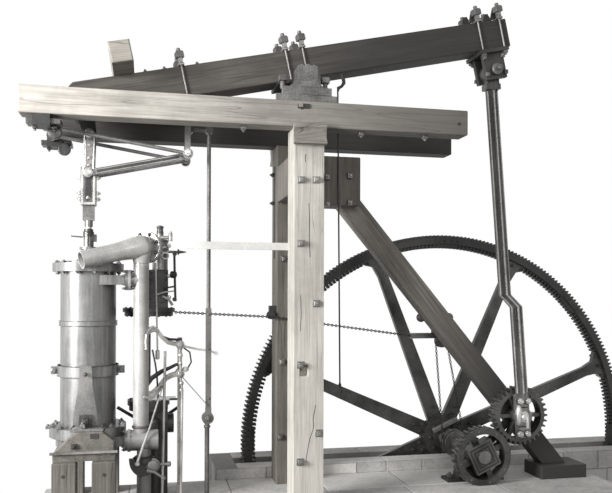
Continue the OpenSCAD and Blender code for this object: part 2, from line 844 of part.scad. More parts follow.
// Throttle valve's body on the upper chest, with the neck that takes the steam
module throttle_body() {
    neck = elbow + (70 + flange_plate) * flange_way;
    body_r = 78;
    color("dimgray") above_floor() {
        round_bar(neck, throttle_at, 130);
        round_bar(neck, neck + flange_plate * flange_way, 2 * flange_r);
        translate([throttle_at[0], throttle_at[1], chest_up_z + chest_up_h])
            cylinder(r = body_r, h = elbow[2] + 95 - chest_up_z - chest_up_h);
        translate([throttle_at[0], throttle_at[1], elbow[2] + 95]) cylinder(r = 34, h = 64);
        round_bar([throttle_at[0], throttle_at[1], elbow[2] - 25], [throttle_at[0] + 215, throttle_at[1], elbow[2] - 25], 26);
    }
}

module elbow_flange(x, z, r) {
    translate([x, -stand_y, z]) rotate([0, 90, 0]) cylinder(r = r, h = port_plate);
}

// Stand pipe with its branch to each port, on a foot that reaches the floor
module stand_pipe() {
    low_r = 100;
    low_end = stand_x + 165;
    color("whitesmoke") above_floor() {
        translate([stand_x, -stand_y, port_low_z]) cylinder(d = stand_dia, h = stand_top - port_low_z);
        translate([stand_x + 30, -stand_y, 0]) cylinder(r = 68, h = port_low_z);
        translate([port_end, -stand_y, port_low_z]) rotate([0, 90, 0]) cylinder(r = low_r, h = low_end - port_end);
        translate([port_end, -stand_y, port_up_z]) rotate([0, 90, 0]) cylinder(d = stand_dia - 10, h = stand_x - port_end);
        elbow_flange(port_end, port_up_z, port_r);
        elbow_flange(port_end, port_low_z, low_r + 8);
    }
}

// The two chests stand in line, with a pipe and round flanges between them
chest_x = stand_x + 55;
chest_near = 110;
chest_depth = 230;
chest_mid_x = stand_x + 75;
chest_mid_y = chest_near + chest_depth / 2;
chest_flange_r = 262;
chest_up_z = 1910;
chest_low_z = 540;
chest_pipe_r = 46;
module upper_chest() {
    plate = 40;
    color("dimgray") above_floor() {
        translate([chest_x, chest_near, chest_up_z]) cube([chest_w, chest_depth, chest_up_h]);
        translate([chest_mid_x, chest_mid_y, chest_up_z - plate]) cylinder(r = chest_flange_r, h = plate);
        translate([chest_mid_x, chest_mid_y, chest_up_z - 2 * plate]) cylinder(r = chest_flange_r - 18, h = plate);
    }
}

module lower_chest() {
    top_z = chest_low_z + chest_low_h;
    plate = 52;
    bonnet_r = 98;
    color("dimgray") above_floor() {
        translate([chest_x, chest_near, 0]) cube([chest_w, chest_depth, top_z]);
        translate([chest_mid_x, chest_mid_y, top_z]) cylinder(r = 196, h = plate);
        translate([chest_mid_x, chest_mid_y, top_z + plate]) cylinder(r = 212, h = plate);
        translate([stand_x + 20, chest_mid_y, top_z + 2 * plate])
            cylinder(r = chest_pipe_r, h = chest_up_z - 80 - top_z - 2 * plate);
        translate([chest_x + chest_w, chest_near + bonnet_r + 6, chest_low_z + 185]) rotate([0, 90, 0])
            cylinder(r = bonnet_r, h = 62);
        translate([chest_x + 80, chest_near - 40, 0]) cylinder(r = 46, h = chest_low_z + 220);
    }
}

// Outline of a bent bar of even width along a line of points
function side_of(line, i) =
    let (a = line[max(i - 1, 0)], b = line[min(i + 1, len(line) - 1)], d = (b - a) / norm(b - a))
        [-d[1], d[0]];
function bent(line, half) = concat(
    [for (i = [0 : len(line) - 1]) line[i] + half * side_of(line, i)],
    [for (i = [len(line) - 1 : -1 : 0]) line[i] - half * side_of(line, i)]
);

// Plain rods of the valve work, from the floor up
gear_x = stand_x + 380;
module valve_rods() {
    near_y = -104;
    color("silver") above_floor() {
        round_bar([gear_x - 175, near_y, 0], [gear_x - 148, near_y, 1490], 26);
        round_bar([gear_x + 6, near_y, 0], [gear_x + 18, near_y, 1090], 26);
    }
}

// Standard with two arbors, two bent handles on each and the long lever
module hand_gear() {
    up_z = 1546;
    low_z = 1257;
    post = 46;
    plate_y = -76;
    handle_t = 28;
    far_y = 90;
    half = 18;
    upper = [
        [-331, 73], [-330, 116], [-302, 157], [-262, 171], [-216, 131], [-176, 75], [-118, 24], [-49, 6], [0, 0]
    ];
    lower = [[-345, -180], [-292, -207], [-254, -183], [-196, -125], [-138, -47], [-78, -18], [0, 0]];
    lever = [[0, -8], [180, -52], [300, -68], [365, -95]];
    color("silver") above_floor() translate([gear_x, 0, 0]) {
        translate([-post / 2, 10, 0]) cube([post, post, up_z + 70]);
        for (y = [plate_y, far_y]) {
            across(y, y + handle_t) translate([0, up_z]) polygon(bent(upper, half));
            across(y, y + handle_t) translate([0, low_z]) polygon(bent(lower, half));
        }
        for (z = [up_z, low_z]) {
            cross_pin([0, z], 40, plate_y - 14, far_y + handle_t + 14);
            cross_pin([0, z], 88, plate_y - 4, plate_y + handle_t + 4);
            cross_pin([0, z], 88, far_y - 4, far_y + handle_t + 4);
        }
        across(10, 28) translate([0, up_z]) polygon(bent(lever, 11));
        cross_pin([365, up_z - 95], 40, 2, 36);
    }
}

plug_x = -905;
module plug_rod() {
    top = on_beam(plug_x / cos(beam_tilt), beam_rise - 8);
    eye_z = 800;
    wide_z = 900;
    wide_h = 1010;
    color("gray") above_floor() {
        translate([plug_x - 12, 0, 0]) cylinder(d = plug_dia + 8, h = eye_z);
        cross_pin([plug_x - 6, eye_z], 120, -34, 34);
        translate([plug_x - 30, -26, eye_z]) cube([60, 52, wide_z - eye_z]);
        translate([plug_x - 28, -20, wide_z]) cube([56, 40, wide_h]);
        translate([plug_x, 0, wide_z + wide_h]) cylinder(d = plug_dia, h = top[1] - 150 - wide_z - wide_h);
        translate([plug_x - 34, -30, top[1] - 150]) cube([68, 60, 142]);
    }
}

// Lath from the throttle's spindle to the near post
module stay_bar() {
    left = stand_x + 395;
    color("wheat") above_floor() translate([left, -post_in - 50, cyl_top_z + 180])
        cube([-post_w / 2 - left, 24, 72]);
}

// Thin rod that hangs from a staple on the beam's near side, with a hook at its foot
pull_along = 430;
pull_foot = 1080;
module pull_rod() {
    staple = 34;
    top = on_beam(pull_along, beam_rise + 40);
    y = -beam_w / 2 - 18;
    color("dimgray") above_floor() {
        translate([top[0] - staple / 2, y - 6, top[1] - 20]) cube([staple, 24, 40]);
        translate([top[0], y, pull_foot + 26]) cylinder(d = 10, h = top[1] - pull_foot - 26);
        translate([top[0] + 26, y, pull_foot + 26]) rotate([90, 0, 0]) rotate_extrude(angle = -200)
            translate([26, 0]) circle(d = 10, $fn = 24);
    }
}

// Governor on a bracket against the strut's near face: spindle, sleeve, two balls on arms and a grooved pulley
gov_z = 1560;
gov_y = 330;
gov_arm = 230;
gov_spread = 38;
// The strut's middle line at the height of the governor's bar, which the governor keeps to
gov_strut_x = strut_foot_x - (gov_z + 40 - sill_h) / strut_fall * strut_run;
gov_x = gov_strut_x - 100;
gov_left = gov_x - 290;
drive_y = 600;
drive_x = gov_strut_x + 90;
drive_z = gov_z - 50;
drive_r = 62;
cord_t = 12;

module governor() {
    bar_h = 60;
    top_z = gov_z + 440;
    ball_x = 26 + gov_arm * sin(gov_spread);
    ball_z = top_z - 24 - gov_arm * cos(gov_spread);
    link_z = top_z - 24 - gov_arm * 0.7 * cos(gov_spread);
    shaft_d = 26;
    color("dimgray") above_floor() {
        translate([gov_left, gov_y - 30, gov_z]) cube([drive_x + 40 - gov_left, 60, bar_h]);
        translate([gov_strut_x - 60, strut_near + strut_w, gov_z]) cube([120, gov_y - strut_near - strut_w, bar_h]);
        translate([gov_x, gov_y, gov_z]) cylinder(d = shaft_d, h = top_z - gov_z);
        translate([gov_x, gov_y, top_z - 40]) cylinder(d = 64, h = 40);
        translate([gov_x, gov_y, gov_z + bar_h]) cylinder(d = 84, h = 60);
        for (s = [-1, 1]) {
            round_bar([gov_x + s * 24, gov_y, top_z - 24], [gov_x + s * ball_x, gov_y, ball_z], 18);
            translate([gov_x + s * ball_x, gov_y, ball_z]) rotate(100) ball(52);
            round_bar([gov_x + s * 30, gov_y, gov_z + 112], [gov_x + s * ball_x * 0.7, gov_y, link_z], 12);
        }
        translate([drive_x - 28, gov_y - 30, drive_z - 30]) cube([56, 60, gov_z + 30 - drive_z]);
        cross_pin([drive_x, drive_z], shaft_d, gov_y, drive_y + 30);
        cross_pin([drive_x, drive_z], 2 * drive_r + 30, drive_y - 26, drive_y - 12);
        cross_pin([drive_x, drive_z], 2 * drive_r, drive_y - 12, drive_y + 12);
        cross_pin([drive_x, drive_z], 2 * drive_r + 30, drive_y + 12, drive_y + 26);
    }
}

// Outline of a belt that lies taut round two circles
function arc_points(c, r, a0, a1, steps) =
    [for (i = [0 : steps]) let (a = a0 + (a1 - a0) * i / steps) c + r * [cos(a), sin(a)]];
function belt_points(c1, r1, c2, r2) =
    let (way = atan2(c2[1] - c1[1], c2[0] - c1[0]), lean = acos((r1 - r2) / norm(c2 - c1)))
        concat(arc_points(c2, r2, way - lean, way + lean, 30), arc_points(c1, r1, way + lean, way + 360 - lean, 40));

// Taut chain from the crankshaft's pulley up to the governor's
module governor_drive() {
    hub = [shaft_x, shaft_z];
    top = [drive_x, drive_z];
    low_r = pulley_r - 25 + fit_gap;
    top_r = drive_r + fit_gap;
    color("gray") above_floor() across(drive_y - cord_t / 2, drive_y + cord_t / 2) difference() {
        polygon(belt_points(hub, low_r + cord_t, top, top_r + cord_t));
        polygon(belt_points(hub, low_r, top, top_r));
    }
}

// Chain from the chest's flange to the governor's bar, through between the posts
module governor_line() {
    start = [chest_mid_x + chest_flange_r + fit_gap, chest_mid_y, chest_up_z - 20];
    color("gray") above_floor() round_bar(start, [gov_left - fit_gap, gov_y, gov_z + 30], 12);
}

engine_bed();
pit_front_wall();
pit_back_wall();
pit_end_wall_left();
pit_end_wall_right();
near_post();
far_post();
post_bolsters();
near_spring_beam();
far_spring_beam();
strut_head_block();
diagonal_strut();
strut_sill();
working_beam();
beam_bands();
catch_block();
gudgeon();
gudgeon_bearings();
beam_pin_brackets();
rod_end_bearing();
connecting_rod();
planet_wheel();
orbit_link();
sun_wheel();
crankshaft();
shaft_bearings();
flywheel_hub();
flywheel_arms();
rim_quarter_1();
rim_quarter_2();
rim_quarter_3();
rim_quarter_4();
suspension_links();
parallel_bars();
radius_rods();
radius_brackets();
piston_rod_head();
piston_rod();
steam_cylinder();
cylinder_cover();
hold_down_brackets();
cradle_deck();
cradle_saddles();
cradle_legs();
steam_pipe();
throttle_body();
stand_pipe();
upper_chest();
lower_chest();
valve_rods();
hand_gear();
plug_rod();
stay_bar();
pull_rod();
governor();
governor_drive();
governor_line();
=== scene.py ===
"""Looks of the beam engine: finishes, fine detail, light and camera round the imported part.

Lengths are metres in the part's own frame: X from the cylinder to the flywheel, Y from the near
side to the far side, Z up, with the origin on the ground under the middle of the beam.
"""

import logging
import math
import random
from dataclasses import dataclass, field
from enum import Enum
from typing import Iterable, Optional, Sequence, Union

import bpy
from mathutils import Matrix, Vector


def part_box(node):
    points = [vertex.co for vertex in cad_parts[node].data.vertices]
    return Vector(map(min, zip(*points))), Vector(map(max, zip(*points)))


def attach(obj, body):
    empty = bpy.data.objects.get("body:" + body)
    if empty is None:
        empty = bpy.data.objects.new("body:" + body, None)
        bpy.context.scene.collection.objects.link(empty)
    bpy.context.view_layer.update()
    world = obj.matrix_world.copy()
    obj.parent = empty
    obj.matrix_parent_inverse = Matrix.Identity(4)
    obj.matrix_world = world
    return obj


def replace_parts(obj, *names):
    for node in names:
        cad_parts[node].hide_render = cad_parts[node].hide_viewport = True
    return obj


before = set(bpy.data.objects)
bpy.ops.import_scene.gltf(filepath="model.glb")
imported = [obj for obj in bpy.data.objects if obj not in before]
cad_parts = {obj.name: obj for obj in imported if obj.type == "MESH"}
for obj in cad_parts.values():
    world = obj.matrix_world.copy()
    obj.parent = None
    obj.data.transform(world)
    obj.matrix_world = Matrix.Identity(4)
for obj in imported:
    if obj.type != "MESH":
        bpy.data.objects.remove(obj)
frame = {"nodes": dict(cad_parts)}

LOG = logging.getLogger("beam_engine")

Point = tuple[float, float, float]
Flat = tuple[float, float]
Colour = tuple[float, float, float]

# Height of the floor, which is the top of the engine bed
FLOOR = 2.3

# Directions out of a face, and the near and far side of the engine
FRONT: Point = (0.0, -1.0, 0.0)
BACK: Point = (0.0, 1.0, 0.0)
RIGHT: Point = (1.0, 0.0, 0.0)
LEFT: Point = (-1.0, 0.0, 0.0)
UP: Point = (0.0, 0.0, 1.0)
DOWN: Point = (0.0, 0.0, -1.0)
SIDES: tuple[int, int] = (-1, 1)


class Axis(Enum):
    """Directions that grain and streaks run along."""

    X = (1.0, 0.0, 0.0)
    Y = (0.0, 1.0, 0.0)
    Z = (0.0, 0.0, 1.0)


# Shader graphs


class Value:
    """One number in a shader graph, with the operators that the finishes use."""

    def __init__(self, graph: "Graph", socket: bpy.types.NodeSocket) -> None:
        """Wraps a socket.

        Args:
            graph: owner of the node.
            socket: output that carries the number.
        """
        self.graph = graph
        self.socket = socket

    def _math(self, operation: str, *terms: "Number") -> "Value":
        """Adds a Math node.

        Args:
            operation: what the node works out.
            terms: its inputs in order.

        Returns:
            The result.
        """
        node = self.graph.node("ShaderNodeMath", {"operation": operation}, dict(enumerate(terms)))
        return Value(self.graph, node.outputs[0])

    def __add__(self, other: "Number") -> "Value":
        """Returns: the sum."""
        return self._math("ADD", self, other)

    __radd__ = __add__

    def __sub__(self, other: "Number") -> "Value":
        """Returns: this less the other."""
        return self._math("SUBTRACT", self, other)

    def __rsub__(self, other: float) -> "Value":
        """Returns: the other less this."""
        return self._math("SUBTRACT", other, self)

    def __mul__(self, other: "Number") -> "Value":
        """Returns: the product."""
        return self._math("MULTIPLY", self, other)

    __rmul__ = __mul__

    def __abs__(self) -> "Value":
        """Returns: the number without its sign."""
        return self._math("ABSOLUTE", self)

    def largest(self, other: "Number") -> "Value":
        """Returns: the larger of the two numbers."""
        return self._math("MAXIMUM", self, other)

    def step(self, low: float, high: float) -> "Value":
        """Maps the number to a smooth step.

        Args:
            low: input that gives 0.
            high: input that gives 1.

        Returns:
            The step.
        """
        node = self.graph.node(
            "ShaderNodeMapRange",
            {"interpolation_type": "SMOOTHSTEP"},
            {0: self, 1: low, 2: high, 3: 0.0, 4: 1.0},
        )
        return Value(self.graph, node.outputs[0])


Number = Union[Value, float]
Input = Union[Value, bpy.types.NodeSocket, float, Sequence[float]]


def with_alpha(colour: Input) -> Input:
    """Returns: a plain colour with its alpha, and anything else as it is."""
    return (*colour, 1.0) if isinstance(colour, tuple) else colour


def scaled(colour: Colour, share: float) -> Colour:
    """Returns: the colour with each part multiplied by the share."""
    return tuple(part * share for part in colour)


class Graph:
    """A material and the nodes that make it."""

    def __init__(self, name: str) -> None:
        """Starts an empty material.

        Args:
            name: name of the material.
        """
        self.material = bpy.data.materials.new(name)
        self.material.use_nodes = True
        self.tree = self.material.node_tree
        self.tree.nodes.clear()
        self.place = self.node("ShaderNodeTexCoord").outputs["Object"]

    def node(
        self,
        kind: str,
        settings: Optional[dict[str, object]] = None,
        inputs: Optional[dict[Union[int, str], Input]] = None,
    ) -> bpy.types.Node:
        """Adds one node.

        Args:
            kind: its type.
            settings: its properties, which are set first.
            inputs: a number, a colour or a socket for each input.

        Returns:
            The node.
        """
        made = self.tree.nodes.new(kind)
        for key, value in (settings or {}).items():
            setattr(made, key, value)
        for key, value in (inputs or {}).items():
            if isinstance(value, Value):
                value = value.socket
            if isinstance(value, bpy.types.NodeSocket):
                self.tree.links.new(value, made.inputs[key])
            else:
                made.inputs[key].default_value = value
        return made

    def stretched(self, scale: Point, turn: float = 0.0) -> bpy.types.NodeSocket:
        """Stretches the place that a texture is read at.

        Args:
            scale: stretch along each axis.
            turn: tilt about Y in degrees.

        Returns:
            The stretched place.
        """
        turned = self.node(
            "ShaderNodeMapping",
            {"vector_type": "TEXTURE"},
            {"Vector": self.place, "Rotation": (0.0, -math.radians(turn), 0.0)},
        )
        inputs = {0: turned.outputs[0], 1: scale}
        return self.node("ShaderNodeVectorMath", {"operation": "MULTIPLY"}, inputs).outputs[0]

    def noise(
        self,
        scale: float,
        detail: float = 3.0,
        rough: float = 0.55,
        at: Optional[bpy.types.NodeSocket] = None,
    ) -> Value:
        """Adds a noise texture.

        Args:
            scale: features to the metre.
            detail: number of octaves.
            rough: weight of the finer octaves.
            at: place to read it, or none for the piece's own.

        Returns:
            Noise from about 0.2 to 0.8.
        """
        made = self.node(
            "ShaderNodeTexNoise",
            {"noise_dimensions": "3D"},
            {"Vector": at or self.place, "Scale": scale, "Detail": detail, "Roughness": rough},
        )
        return Value(self, made.outputs["Fac"])

    def along(self, axis: int, start: float, end: float, depth: float) -> Value:
        """Fades something in along an axis.

        Args:
            axis: 0, 1 or 2.
            start: place with none of it.
            end: place with all of it.
            depth: share at the end.

        Returns:
            The share at each place.
        """
        place = Value(self, self.node("ShaderNodeSeparateXYZ", None, {0: self.place}).outputs[axis])
        if end > start:
            return place.step(start, end) * depth
        return (1.0 - place.step(end, start)) * depth

    def attribute(self, name: str) -> Value:
        """Returns: the number that the mesh holds under a name."""
        return Value(self, self.node("ShaderNodeAttribute", {"attribute_name": name}).outputs["Fac"])

    def mix(self, amount: Number, first: Input, second: Input) -> bpy.types.NodeSocket:
        """Mixes two colours.

        Args:
            amount: share of the second.
            first: colour at 0.
            second: colour at 1.

        Returns:
            The mix.
        """
        inputs = {"Factor": amount, 6: with_alpha(first), 7: with_alpha(second)}
        return self.node("ShaderNodeMix", {"data_type": "RGBA"}, inputs).outputs[2]

    def surface(self, colour: Input, roughness: Input, metallic: float, bump: Value, depth: float) -> None:
        """Closes the graph with the shader.

        Args:
            colour: base colour.
            roughness: from 0 for a mirror to 1.
            metallic: share of metal.
            bump: relief.
            depth: height of the relief in metres.
        """
        relief = self.node("ShaderNodeBump", None, {"Strength": 0.6, "Distance": depth, "Height": bump})
        inputs: dict[Union[int, str], Input] = {
            "Base Color": with_alpha(colour),
            "Roughness": roughness,
            "Metallic": metallic,
            "Normal": relief.outputs[0],
        }
        shader = self.node("ShaderNodeBsdfPrincipled", None, inputs)
        self.node("ShaderNodeOutputMaterial", None, {"Surface": shader.outputs[0]})


# Finishes


@dataclass(frozen=True)
class Timber:
    """Old sawn timber with grain, long checks and stains, and on some pieces a darkening along X, which on
    the strut stands for painted shadow at its foot.
    """

    name: str
    dark: Colour
    light: Colour
    grain: Axis = Axis.X
    tilt: float = 0.0
    rough: float = 0.75
    checks: float = 0.6
    stain: float = 0.35
    # Darkening along X: where none starts, where it is full, and its share; on the strut it is painted shadow
    # towards the foot
    fade: Optional[Point] = None

    def build(self) -> bpy.types.Material:
        """Builds the timber.

        Returns:
            The material.
        """
        graph = Graph(self.name)
        along = tuple(1.0 if part else 14.0 for part in self.grain.value)
        fibres = tuple(0.7 if part else 42.0 for part in self.grain.value)
        broad = graph.noise(1.3, 4.0, 0.6, graph.stretched(along, self.tilt))
        fine = graph.noise(3.0, 4.0, 0.65, graph.stretched(fibres, self.tilt))
        check = graph.noise(0.55, 2.0, 0.5, graph.stretched(along, self.tilt))
        cracks = (1.0 - abs(check - 0.5) * 80.0).largest(0.0) * graph.noise(0.9, 1.0).step(0.5, 0.62)
        patches = graph.noise(1.1, 5.0, 0.62).step(0.44, 0.68)
        tone = broad * 0.55 + fine * 0.75 - 0.12
        colour = graph.mix(tone.step(0.24, 0.78), self.dark, self.light)
        stained = graph.mix(patches * self.stain, colour, scaled(self.dark, 0.45))
        shade = graph.mix(cracks * self.checks, stained, scaled(self.dark, 0.16))
        # Darkening along X into a deeper shade of the dark colour, painted shadow on the strut
        if self.fade:
            shade = graph.mix(graph.along(0, *self.fade), shade, scaled(self.dark, 0.3))
        relief = fine * 0.5 + broad * 0.3 - cracks
        graph.surface(shade, fine * 0.25 + (self.rough - 0.12), 0.0, relief, 0.004)
        return graph.material


@dataclass(frozen=True)
class Iron:
    """Cast or wrought iron, from matt black to bright, with dull patches and run marks."""

    name: str
    dark: Colour
    light: Colour
    rough: float = 0.5
    metal: float = 0.6
    grit: float = 0.0015
    streaks: Optional[Axis] = None
    rust: float = 0.12
    foot: Optional[Point] = None

    def build(self) -> bpy.types.Material:
        """Builds the iron.

        Returns:
            The material.
        """
        graph = Graph(self.name)
        cloud = graph.noise(2.6, 5.0, 0.6)
        speck = graph.noise(60.0, 3.0, 0.6)
        tone = cloud * 0.75 + speck * 0.3
        if self.streaks:
            long = tuple(0.8 if part else 12.0 for part in self.streaks.value)
            tone = tone * 0.5 + graph.noise(2.0, 3.0, 0.55, graph.stretched(long)) * 0.55
        colour = graph.mix(tone.step(0.32, 0.74), self.dark, self.light)
        rusty = graph.noise(7.0, 5.0, 0.65).step(0.56, 0.72)
        colour = graph.mix(rusty * self.rust, colour, (0.09, 0.05, 0.03))
        if self.foot:
            colour = graph.mix(graph.along(2, *self.foot), colour, (0.03, 0.03, 0.028))
        dull = cloud * 0.3 + (self.rough - 0.15)
        graph.surface(colour, dull, self.metal, speck * 0.7 + cloud, self.grit)
        return graph.material


@dataclass(frozen=True)
class Stone:
    """Rough dressed masonry, or the mortar behind it."""

    name: str
    dark: Colour
    light: Colour
    rough: float = 0.9
    relief: float = 0.006

    def build(self) -> bpy.types.Material:
        """Builds the stone.

        Returns:
            The material.
        """
        graph = Graph(self.name)
        cloud = graph.noise(1.7, 6.0, 0.65)
        grain = graph.noise(24.0, 5.0, 0.6)
        tint = graph.attribute("tint")
        tone = cloud * 0.6 + grain * 0.4 + tint * 0.35
        colour = graph.mix(tone.step(0.3, 0.95), self.dark, self.light)
        dull = grain * 0.15 + (self.rough - 0.07)
        graph.surface(colour, dull, 0.0, grain * 0.6 + cloud, self.relief)
        return graph.material


class Finish(Enum):
    """Every finish of the engine, named for what it covers."""

    PALE_BEAM = Timber(
        "pale_beam", (0.27, 0.25, 0.22), (0.56, 0.53, 0.48), checks=0.45, stain=0.4, fade=(-2.2, 1.5, 0.86)
    )
    PALE_POST = Timber("pale_post", (0.32, 0.30, 0.265), (0.60, 0.575, 0.52), Axis.Z, checks=0.45)
    FAR_POST = Timber("far_post", (0.06, 0.054, 0.046), (0.19, 0.172, 0.148), Axis.Z)
    DARK_SPRING = Timber("dark_spring", (0.012, 0.011, 0.010), (0.045, 0.04, 0.035))
    WORKING_BEAM = Timber(
        "working_beam", (0.02, 0.018, 0.0155), (0.115, 0.104, 0.09), tilt=12.3, fade=(-0.9, 1.0, 0.75)
    )
    # The strut and its sill darken to near black towards the foot: painted shadow
    STRUT = Timber(
        "strut", (0.075, 0.068, 0.059), (0.31, 0.29, 0.255), tilt=-51.6, fade=(0.8, 2.5, 0.97)
    )
    HEAD_BLOCK = Timber("head_block", (0.045, 0.04, 0.034), (0.19, 0.172, 0.15), Axis.Z)
    CATCH = Timber("catch", (0.15, 0.135, 0.115), (0.36, 0.335, 0.30), tilt=12.3)
    CRADLE = Timber("cradle", (0.05, 0.045, 0.038), (0.20, 0.187, 0.163), Axis.Y, checks=0.3)
    CRADLE_LEG = Timber("cradle_leg", (0.045, 0.04, 0.034), (0.18, 0.168, 0.146), Axis.Z)
    BLACK_IRON = Iron("black_iron", (0.012, 0.012, 0.012), (0.05, 0.048, 0.046), 0.52, 0.35)
    GEAR_IRON = Iron("gear_iron", (0.018, 0.0178, 0.0173), (0.10, 0.098, 0.094), 0.36, 0.55, 0.001)
    WHEEL_IRON = Iron("wheel_iron", (0.012, 0.012, 0.012), (0.045, 0.043, 0.041), 0.6, 0.25)
    GREY_IRON = Iron(
        "grey_iron", (0.085, 0.085, 0.084), (0.235, 0.233, 0.228), 0.36, 0.4, streaks=Axis.Z
    )
    ROD_GREY = Iron("rod_grey", (0.022, 0.0215, 0.021), (0.12, 0.117, 0.113), 0.4, streaks=Axis.Z)
    BAND_IRON = Iron("band_iron", (0.09, 0.088, 0.084), (0.27, 0.262, 0.25), 0.42, grit=0.0008)
    BEARING_IRON = Iron("bearing_iron", (0.04, 0.039, 0.037), (0.27, 0.263, 0.25), 0.6, 0.2)
    BRIGHT = Iron("bright", (0.23, 0.225, 0.216), (0.60, 0.585, 0.56), 0.3, 0.5, 0.0006)
    # Bright finish of the painted highlights along the connecting rod, darker towards the top
    ROD_HIGHLIGHT = Iron(
        "rod_highlight", (0.24, 0.235, 0.226), (0.58, 0.565, 0.545), 0.28, 0.4, 0.0006, foot=(3.2, 5.8, 0.7)
    )
    CONROD = Iron(
        "conrod", (0.018, 0.0175, 0.017), (0.27, 0.263, 0.25), 0.34, 0.5, 0.001, Axis.Z,
        foot=(3.0, 4.8, 0.75),
    )
    LINK_IRON = Iron("link_iron", (0.06, 0.058, 0.056), (0.25, 0.243, 0.233), 0.32, 0.5, 0.0006)
    PIPE = Iron(
        "pipe", (0.24, 0.235, 0.225), (0.44, 0.43, 0.415), 0.42, 0.15, 0.0008, rust=0.03,
        foot=(3.25, 2.75, 0.7),
    )
    ELBOW = Iron("elbow", (0.30, 0.293, 0.28), (0.60, 0.588, 0.565), 0.3, 0.25, 0.0008, rust=0.03)
    ROD_IRON = Iron("rod_iron", (0.05, 0.048, 0.046), (0.17, 0.163, 0.155), 0.46, 0.45, 0.0008)
    PALE_BAR = Iron("pale_bar", (0.45, 0.44, 0.42), (0.66, 0.65, 0.62), 0.6, 0.0, 0.0008, rust=0.03)
    STONE = Stone("stone", (0.22, 0.215, 0.205), (0.62, 0.605, 0.58))
    MORTAR = Stone("mortar", (0.20, 0.195, 0.185), (0.36, 0.35, 0.33))


# Finish of the part's own nodes. A node that isn't listed is black iron.
NODES: dict[Finish, tuple[str, ...]] = {
    Finish.MORTAR: (
        "engine_bed", "pit_front_wall", "pit_back_wall", "pit_end_wall_left", "pit_end_wall_right"
    ),
    Finish.PALE_POST: ("near_post", "post_bolsters"),
    Finish.FAR_POST: ("far_post",),
    Finish.PALE_BEAM: ("near_spring_beam",),
    Finish.DARK_SPRING: ("far_spring_beam",),
    Finish.HEAD_BLOCK: ("strut_head_block",),
    Finish.STRUT: ("diagonal_strut", "strut_sill"),
    Finish.WORKING_BEAM: ("working_beam",),
    Finish.CATCH: ("catch_block",),
    Finish.CONROD: ("connecting_rod",),
    Finish.BAND_IRON: ("beam_bands", "crankshaft", "suspension_links", "hold_down_brackets"),
    Finish.BEARING_IRON: ("gudgeon_bearings",),
    Finish.GREY_IRON: ("steam_cylinder", "cylinder_cover"),
    Finish.LINK_IRON: ("throttle_body", "parallel_bars", "radius_rods", "piston_rod_head"),
    Finish.BRIGHT: ("piston_rod", "valve_rods", "hand_gear"),
    Finish.ELBOW: ("steam_pipe",),
    Finish.PIPE: ("stand_pipe",),
    Finish.CRADLE: ("cradle_deck", "cradle_saddles"),
    Finish.CRADLE_LEG: ("cradle_legs",),
    Finish.ROD_IRON: ("plug_rod", "governor"),
    Finish.PALE_BAR: ("stay_bar",),
    Finish.WHEEL_IRON: (
        "flywheel_hub", "rim_quarter_1", "rim_quarter_2", "rim_quarter_3", "rim_quarter_4"
    ),
    Finish.GEAR_IRON: ("flywheel_arms", "planet_wheel", "sun_wheel"),
}

# Width of the worn edges of the timbers and of the connecting rod
SOFT_EDGES: dict[str, float] = {
    "near_post": 0.010, "far_post": 0.010, "near_spring_beam": 0.012, "far_spring_beam": 0.010,
    "working_beam": 0.012, "catch_block": 0.012, "diagonal_strut": 0.008, "strut_head_block": 0.010,
    "post_bolsters": 0.010, "strut_sill": 0.010, "cradle_deck": 0.008, "cradle_saddles": 0.010,
    "cradle_legs": 0.010, "connecting_rod": 0.004,
}
WELD_GAP = 1e-5
NODE_SHARP = 50.0
PIECE_SHARP = 40.0


def wear_edges(piece: bpy.types.Object, width: float, sharp: float) -> None:
    """Rounds the edges of a piece as wear does.

    Args:
        piece: takes the bevel.
        width: of the bevel.
        sharp: angle in degrees above which an edge is worn.
    """
    worn = piece.modifiers.new("worn_edges", "BEVEL")
    worn.width = width
    worn.segments = 2
    worn.limit_method = "ANGLE"
    worn.angle_limit = math.radians(sharp)


@dataclass
class Paintbox:
    """Finishes made once and handed out."""

    made: dict[Finish, bpy.types.Material] = field(default_factory=dict)

    def get(self, finish: Finish) -> bpy.types.Material:
        """Hands out a finish, and builds it the first time.

        Args:
            finish: the one that is wanted.

        Returns:
            Its material.
        """
        if finish not in self.made:
            self.made[finish] = finish.value.build()
        return self.made[finish]

    def dress(self, nodes: dict[str, bpy.types.Object]) -> None:
        """Gives the part's own nodes their finish and worn edges.

        Args:
            nodes: the nodes by name.
        """
        finishes = {name: finish for finish, names in NODES.items() for name in names}
        for name, node in nodes.items():
            node.data.materials.clear()
            node.data.materials.append(self.get(finishes.get(name, Finish.BLACK_IRON)))
            if name in SOFT_EDGES:
                weld = node.modifiers.new("weld", "WELD")
                weld.merge_threshold = WELD_GAP
                wear_edges(node, SOFT_EDGES[name], NODE_SHARP)
            LOG.info("node %s: %s", name, node.data.materials[0].name)


# Mesh kit


def turned_to(axis: Sequence[float]) -> Matrix:
    """Returns: the turn that takes Z to the axis."""
    return Vector(UP).rotation_difference(Vector(axis).normalized()).to_matrix().to_4x4()


def around(count: int, radius: float, start: float = 0.5) -> list[Point]:
    """Spaces points evenly round a circle.

    Args:
        count: number of points.
        radius: of the circle.
        start: place of the first one, in steps.

    Returns:
        Two coordinates and the angle in radians of each point.
    """
    angles = [math.tau * (k + start) / count for k in range(count)]
    return [(radius * math.cos(angle), radius * math.sin(angle), angle) for angle in angles]


def raised(points: Iterable[Point]) -> list[Point]:
    """Returns: points whose heights are over the floor, in the part's frame."""
    return [(x, y, FLOOR + z) for x, y, z in points]


